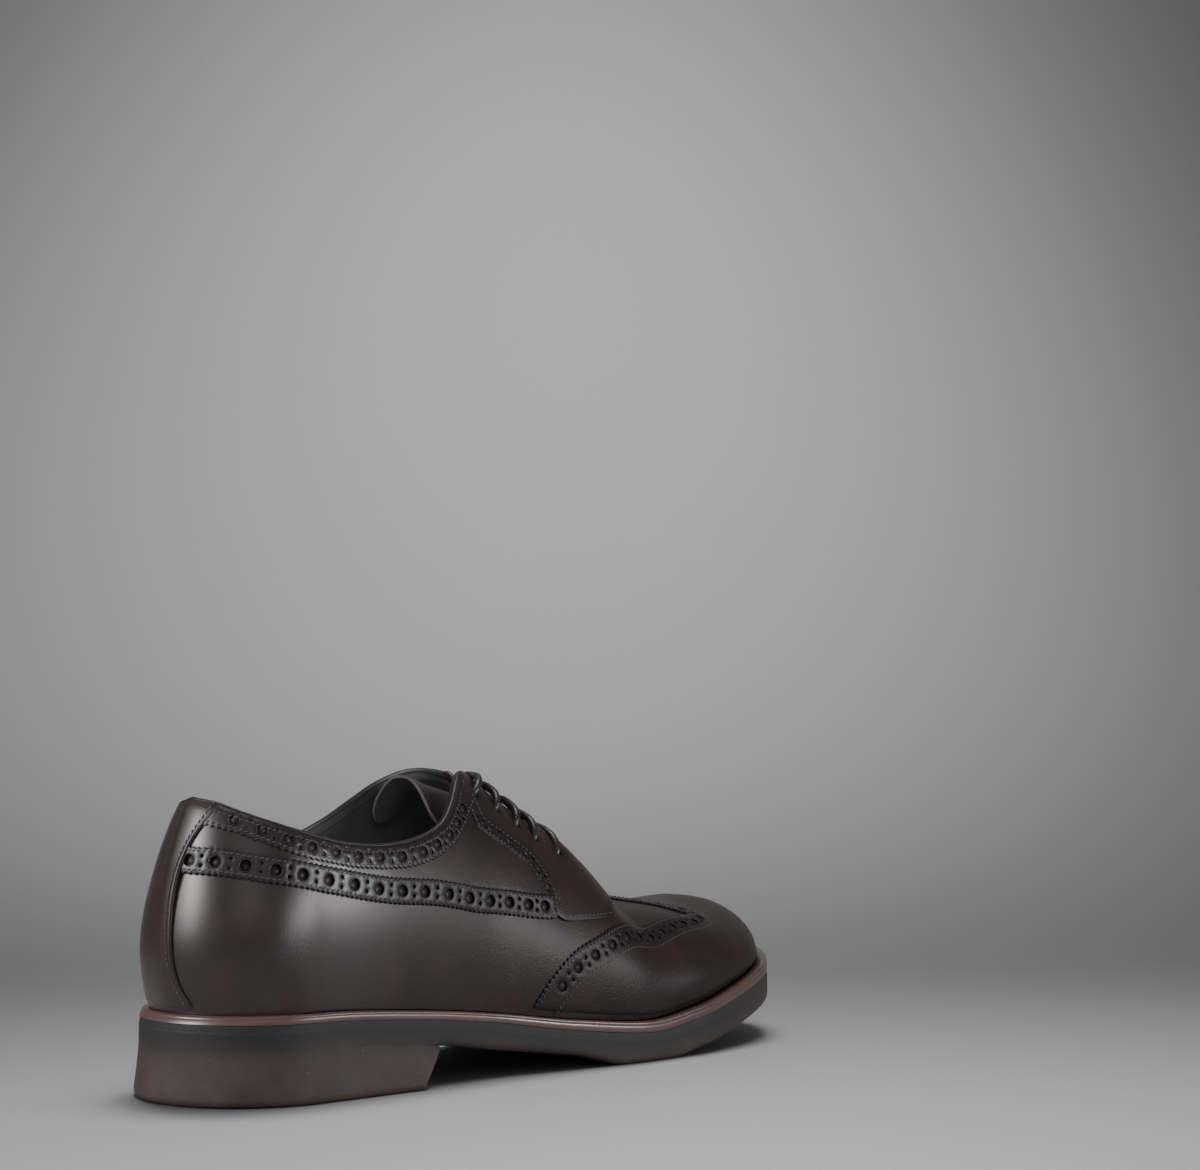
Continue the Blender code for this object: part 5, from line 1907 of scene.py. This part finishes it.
class DERBY_OT_stage(bpy.types.Operator):
    """Grey sweep, soft lights and the camera at the photographed angle"""

    bl_idname = "derby.stage"
    bl_label = "Stage"

    def execute(self, context):
        looks = context.scene.derby_stage
        floor = self.sweep(looks)
        self.lights(looks, floor)
        self.camera(context)
        return {"FINISHED"}

    def sweep(self, looks):
        """Floor that curves up into a backdrop, square to the view."""
        yaw = np.radians(CAMERA_YAW)
        away = np.array([np.sin(yaw), np.cos(yaw), 0.0])
        right = np.array([np.cos(yaw), -np.sin(yaw), 0.0])
        bend = 0.7
        start = 0.35
        curve = np.linspace(0, np.pi / 2, 40)
        flat = np.linspace(-1.5, start, 12)
        reach = np.concatenate([[-3.0], flat, start + bend * np.sin(curve[1:]), [start + bend]])
        height = np.concatenate([np.zeros(13), bend * (1 - np.cos(curve[1:])), [4.0]])
        points = []
        for out, up in zip(reach, height):
            for side in np.linspace(-4.0, 4.0, 17):
                points.append(away * out + right * side + UPWARD * up)
        faces = []
        for i in range(len(reach) - 1):
            for j in range(16):
                a = i * 17 + j
                faces.append([a, a + 1, a + 18, a + 17])
        mesh = bpy.data.meshes.new("sweep")
        mesh.from_pydata([tuple(point) for point in points], [], faces)
        mesh.shade_smooth()
        material, tree, shader, place = new_material("grey_sweep")
        tone = noise(tree, place, 900.0, 2.0)
        pale = [1.04 * value for value in looks.backdrop]
        colour = blend_colour(tree, tone.outputs["Fac"], (*looks.backdrop, 1), (*pale, 1))
        tree.links.new(colour, shader.inputs["Base Color"])
        shader.inputs["Roughness"].default_value = 0.8
        shader.inputs["Specular IOR Level"].default_value = 0.2
        item = add_object("sweep", mesh, [material])
        return item

    def area(self, name, place, target, size, power, spread):
        light = bpy.data.lights.new(name, "AREA")
        light.shape = "RECTANGLE"
        light.size, light.size_y = size
        light.spread = np.radians(spread)
        light.energy = power
        return self.aim(name, light, place, target)

    def aim(self, name, light, place, target):
        item = bpy.data.objects.new(name, light)
        item.location = place
        item.rotation_euler = (Vector(target) - Vector(place)).to_track_quat("-Z", "Y").to_euler()
        bpy.context.scene.collection.objects.link(item)
        return item

    def lights(self, looks, floor):
        unlit = bpy.data.collections.new("flagged_floor")
        unlit.objects.link(floor)
        unlit.collection_objects[0].light_linking.link_state = "EXCLUDE"
        for name, (place, target, size, spread, flagged) in SOFT_LIGHTS.items():
            light = self.area(name + "_light", place, target, size, getattr(looks, name), spread)
            if flagged:
                light.light_linking.receiver_collection = unlit
        spot = bpy.data.lights.new("backdrop_light", "SPOT")
        spot.energy = looks.back
        spot.spot_size = np.radians(62)
        spot.spot_blend = 1.0
        spot.shadow_soft_size = 0.25
        self.aim("backdrop_light", spot, (0.18, 0.0, 1.4), (0.74, 0.74, 0.20))
        world = bpy.context.scene.world or bpy.data.worlds.new("room")
        bpy.context.scene.world = world
        world.use_nodes = True
        room = world.node_tree.nodes["Background"]
        room.inputs["Color"].default_value = (0.9, 0.92, 1.0, 1)
        room.inputs["Strength"].default_value = looks.world

    def camera(self, context):
        yaw = np.radians(CAMERA_YAW)
        pitch = np.radians(CAMERA_PITCH)
        sight = Vector((np.sin(yaw) * np.cos(pitch), np.cos(yaw) * np.cos(pitch), np.sin(pitch)))
        lens = bpy.data.cameras.new("camera")
        lens.lens = CAMERA_LENS
        lens.sensor_width = 36.0
        lens.clip_start = 0.01
        item = bpy.data.objects.new("camera", lens)
        item.location = placed(CAMERA_PLACE)
        item.rotation_euler = sight.to_track_quat("-Z", "Y").to_euler()
        context.scene.collection.objects.link(item)
        context.scene.camera = item
        context.scene.view_settings.view_transform = "Standard"


class DERBY_PT_shoe(bpy.types.Panel):
    """Pieces of the shoe and their sizes and colours"""

    bl_idname = "DERBY_PT_shoe"
    bl_label = "Brogue derby"
    bl_space_type = "VIEW_3D"
    bl_region_type = "UI"
    bl_category = "Shoe"

    def draw(self, context):
        for group in SETTINGS:
            box = self.layout.box()
            settings = getattr(context.scene, group)
            for name in settings.bl_rna.properties.keys():
                if name not in ("rna_type", "name"):
                    box.prop(settings, name)
        for piece in PIECES:
            self.layout.operator(piece.bl_idname)


SETTINGS = {
    "derby_leather": LeatherLooks,
    "derby_trim": TrimSizes,
    "derby_sole": SoleLooks,
    "derby_lace": LaceLooks,
    "derby_stage": StageLooks,
}
PIECES = (
    DERBY_OT_upper,
    DERBY_OT_quarters,
    DERBY_OT_bands,
    DERBY_OT_facings,
    DERBY_OT_toe_wing,
    DERBY_OT_back_strip,
    DERBY_OT_topline,
    DERBY_OT_tongue,
    DERBY_OT_lace,
    DERBY_OT_sole,
    DERBY_OT_heel,
    DERBY_OT_stitches,
    DERBY_OT_stage,
)


def register():
    for name, group in SETTINGS.items():
        bpy.utils.register_class(group)
        setattr(bpy.types.Scene, name, bpy.props.PointerProperty(type=group))
    for piece in PIECES:
        bpy.utils.register_class(piece)
    bpy.utils.register_class(DERBY_PT_shoe)


def unregister():
    bpy.utils.unregister_class(DERBY_PT_shoe)
    for piece in reversed(PIECES):
        bpy.utils.unregister_class(piece)
    for name, group in reversed(SETTINGS.items()):
        delattr(bpy.types.Scene, name)
        bpy.utils.unregister_class(group)


def main():
    register()
    for piece in PIECES:
        family, action = piece.bl_idname.split(".")
        getattr(getattr(bpy.ops, family), action)()


if __name__ == "__main__":
    main()
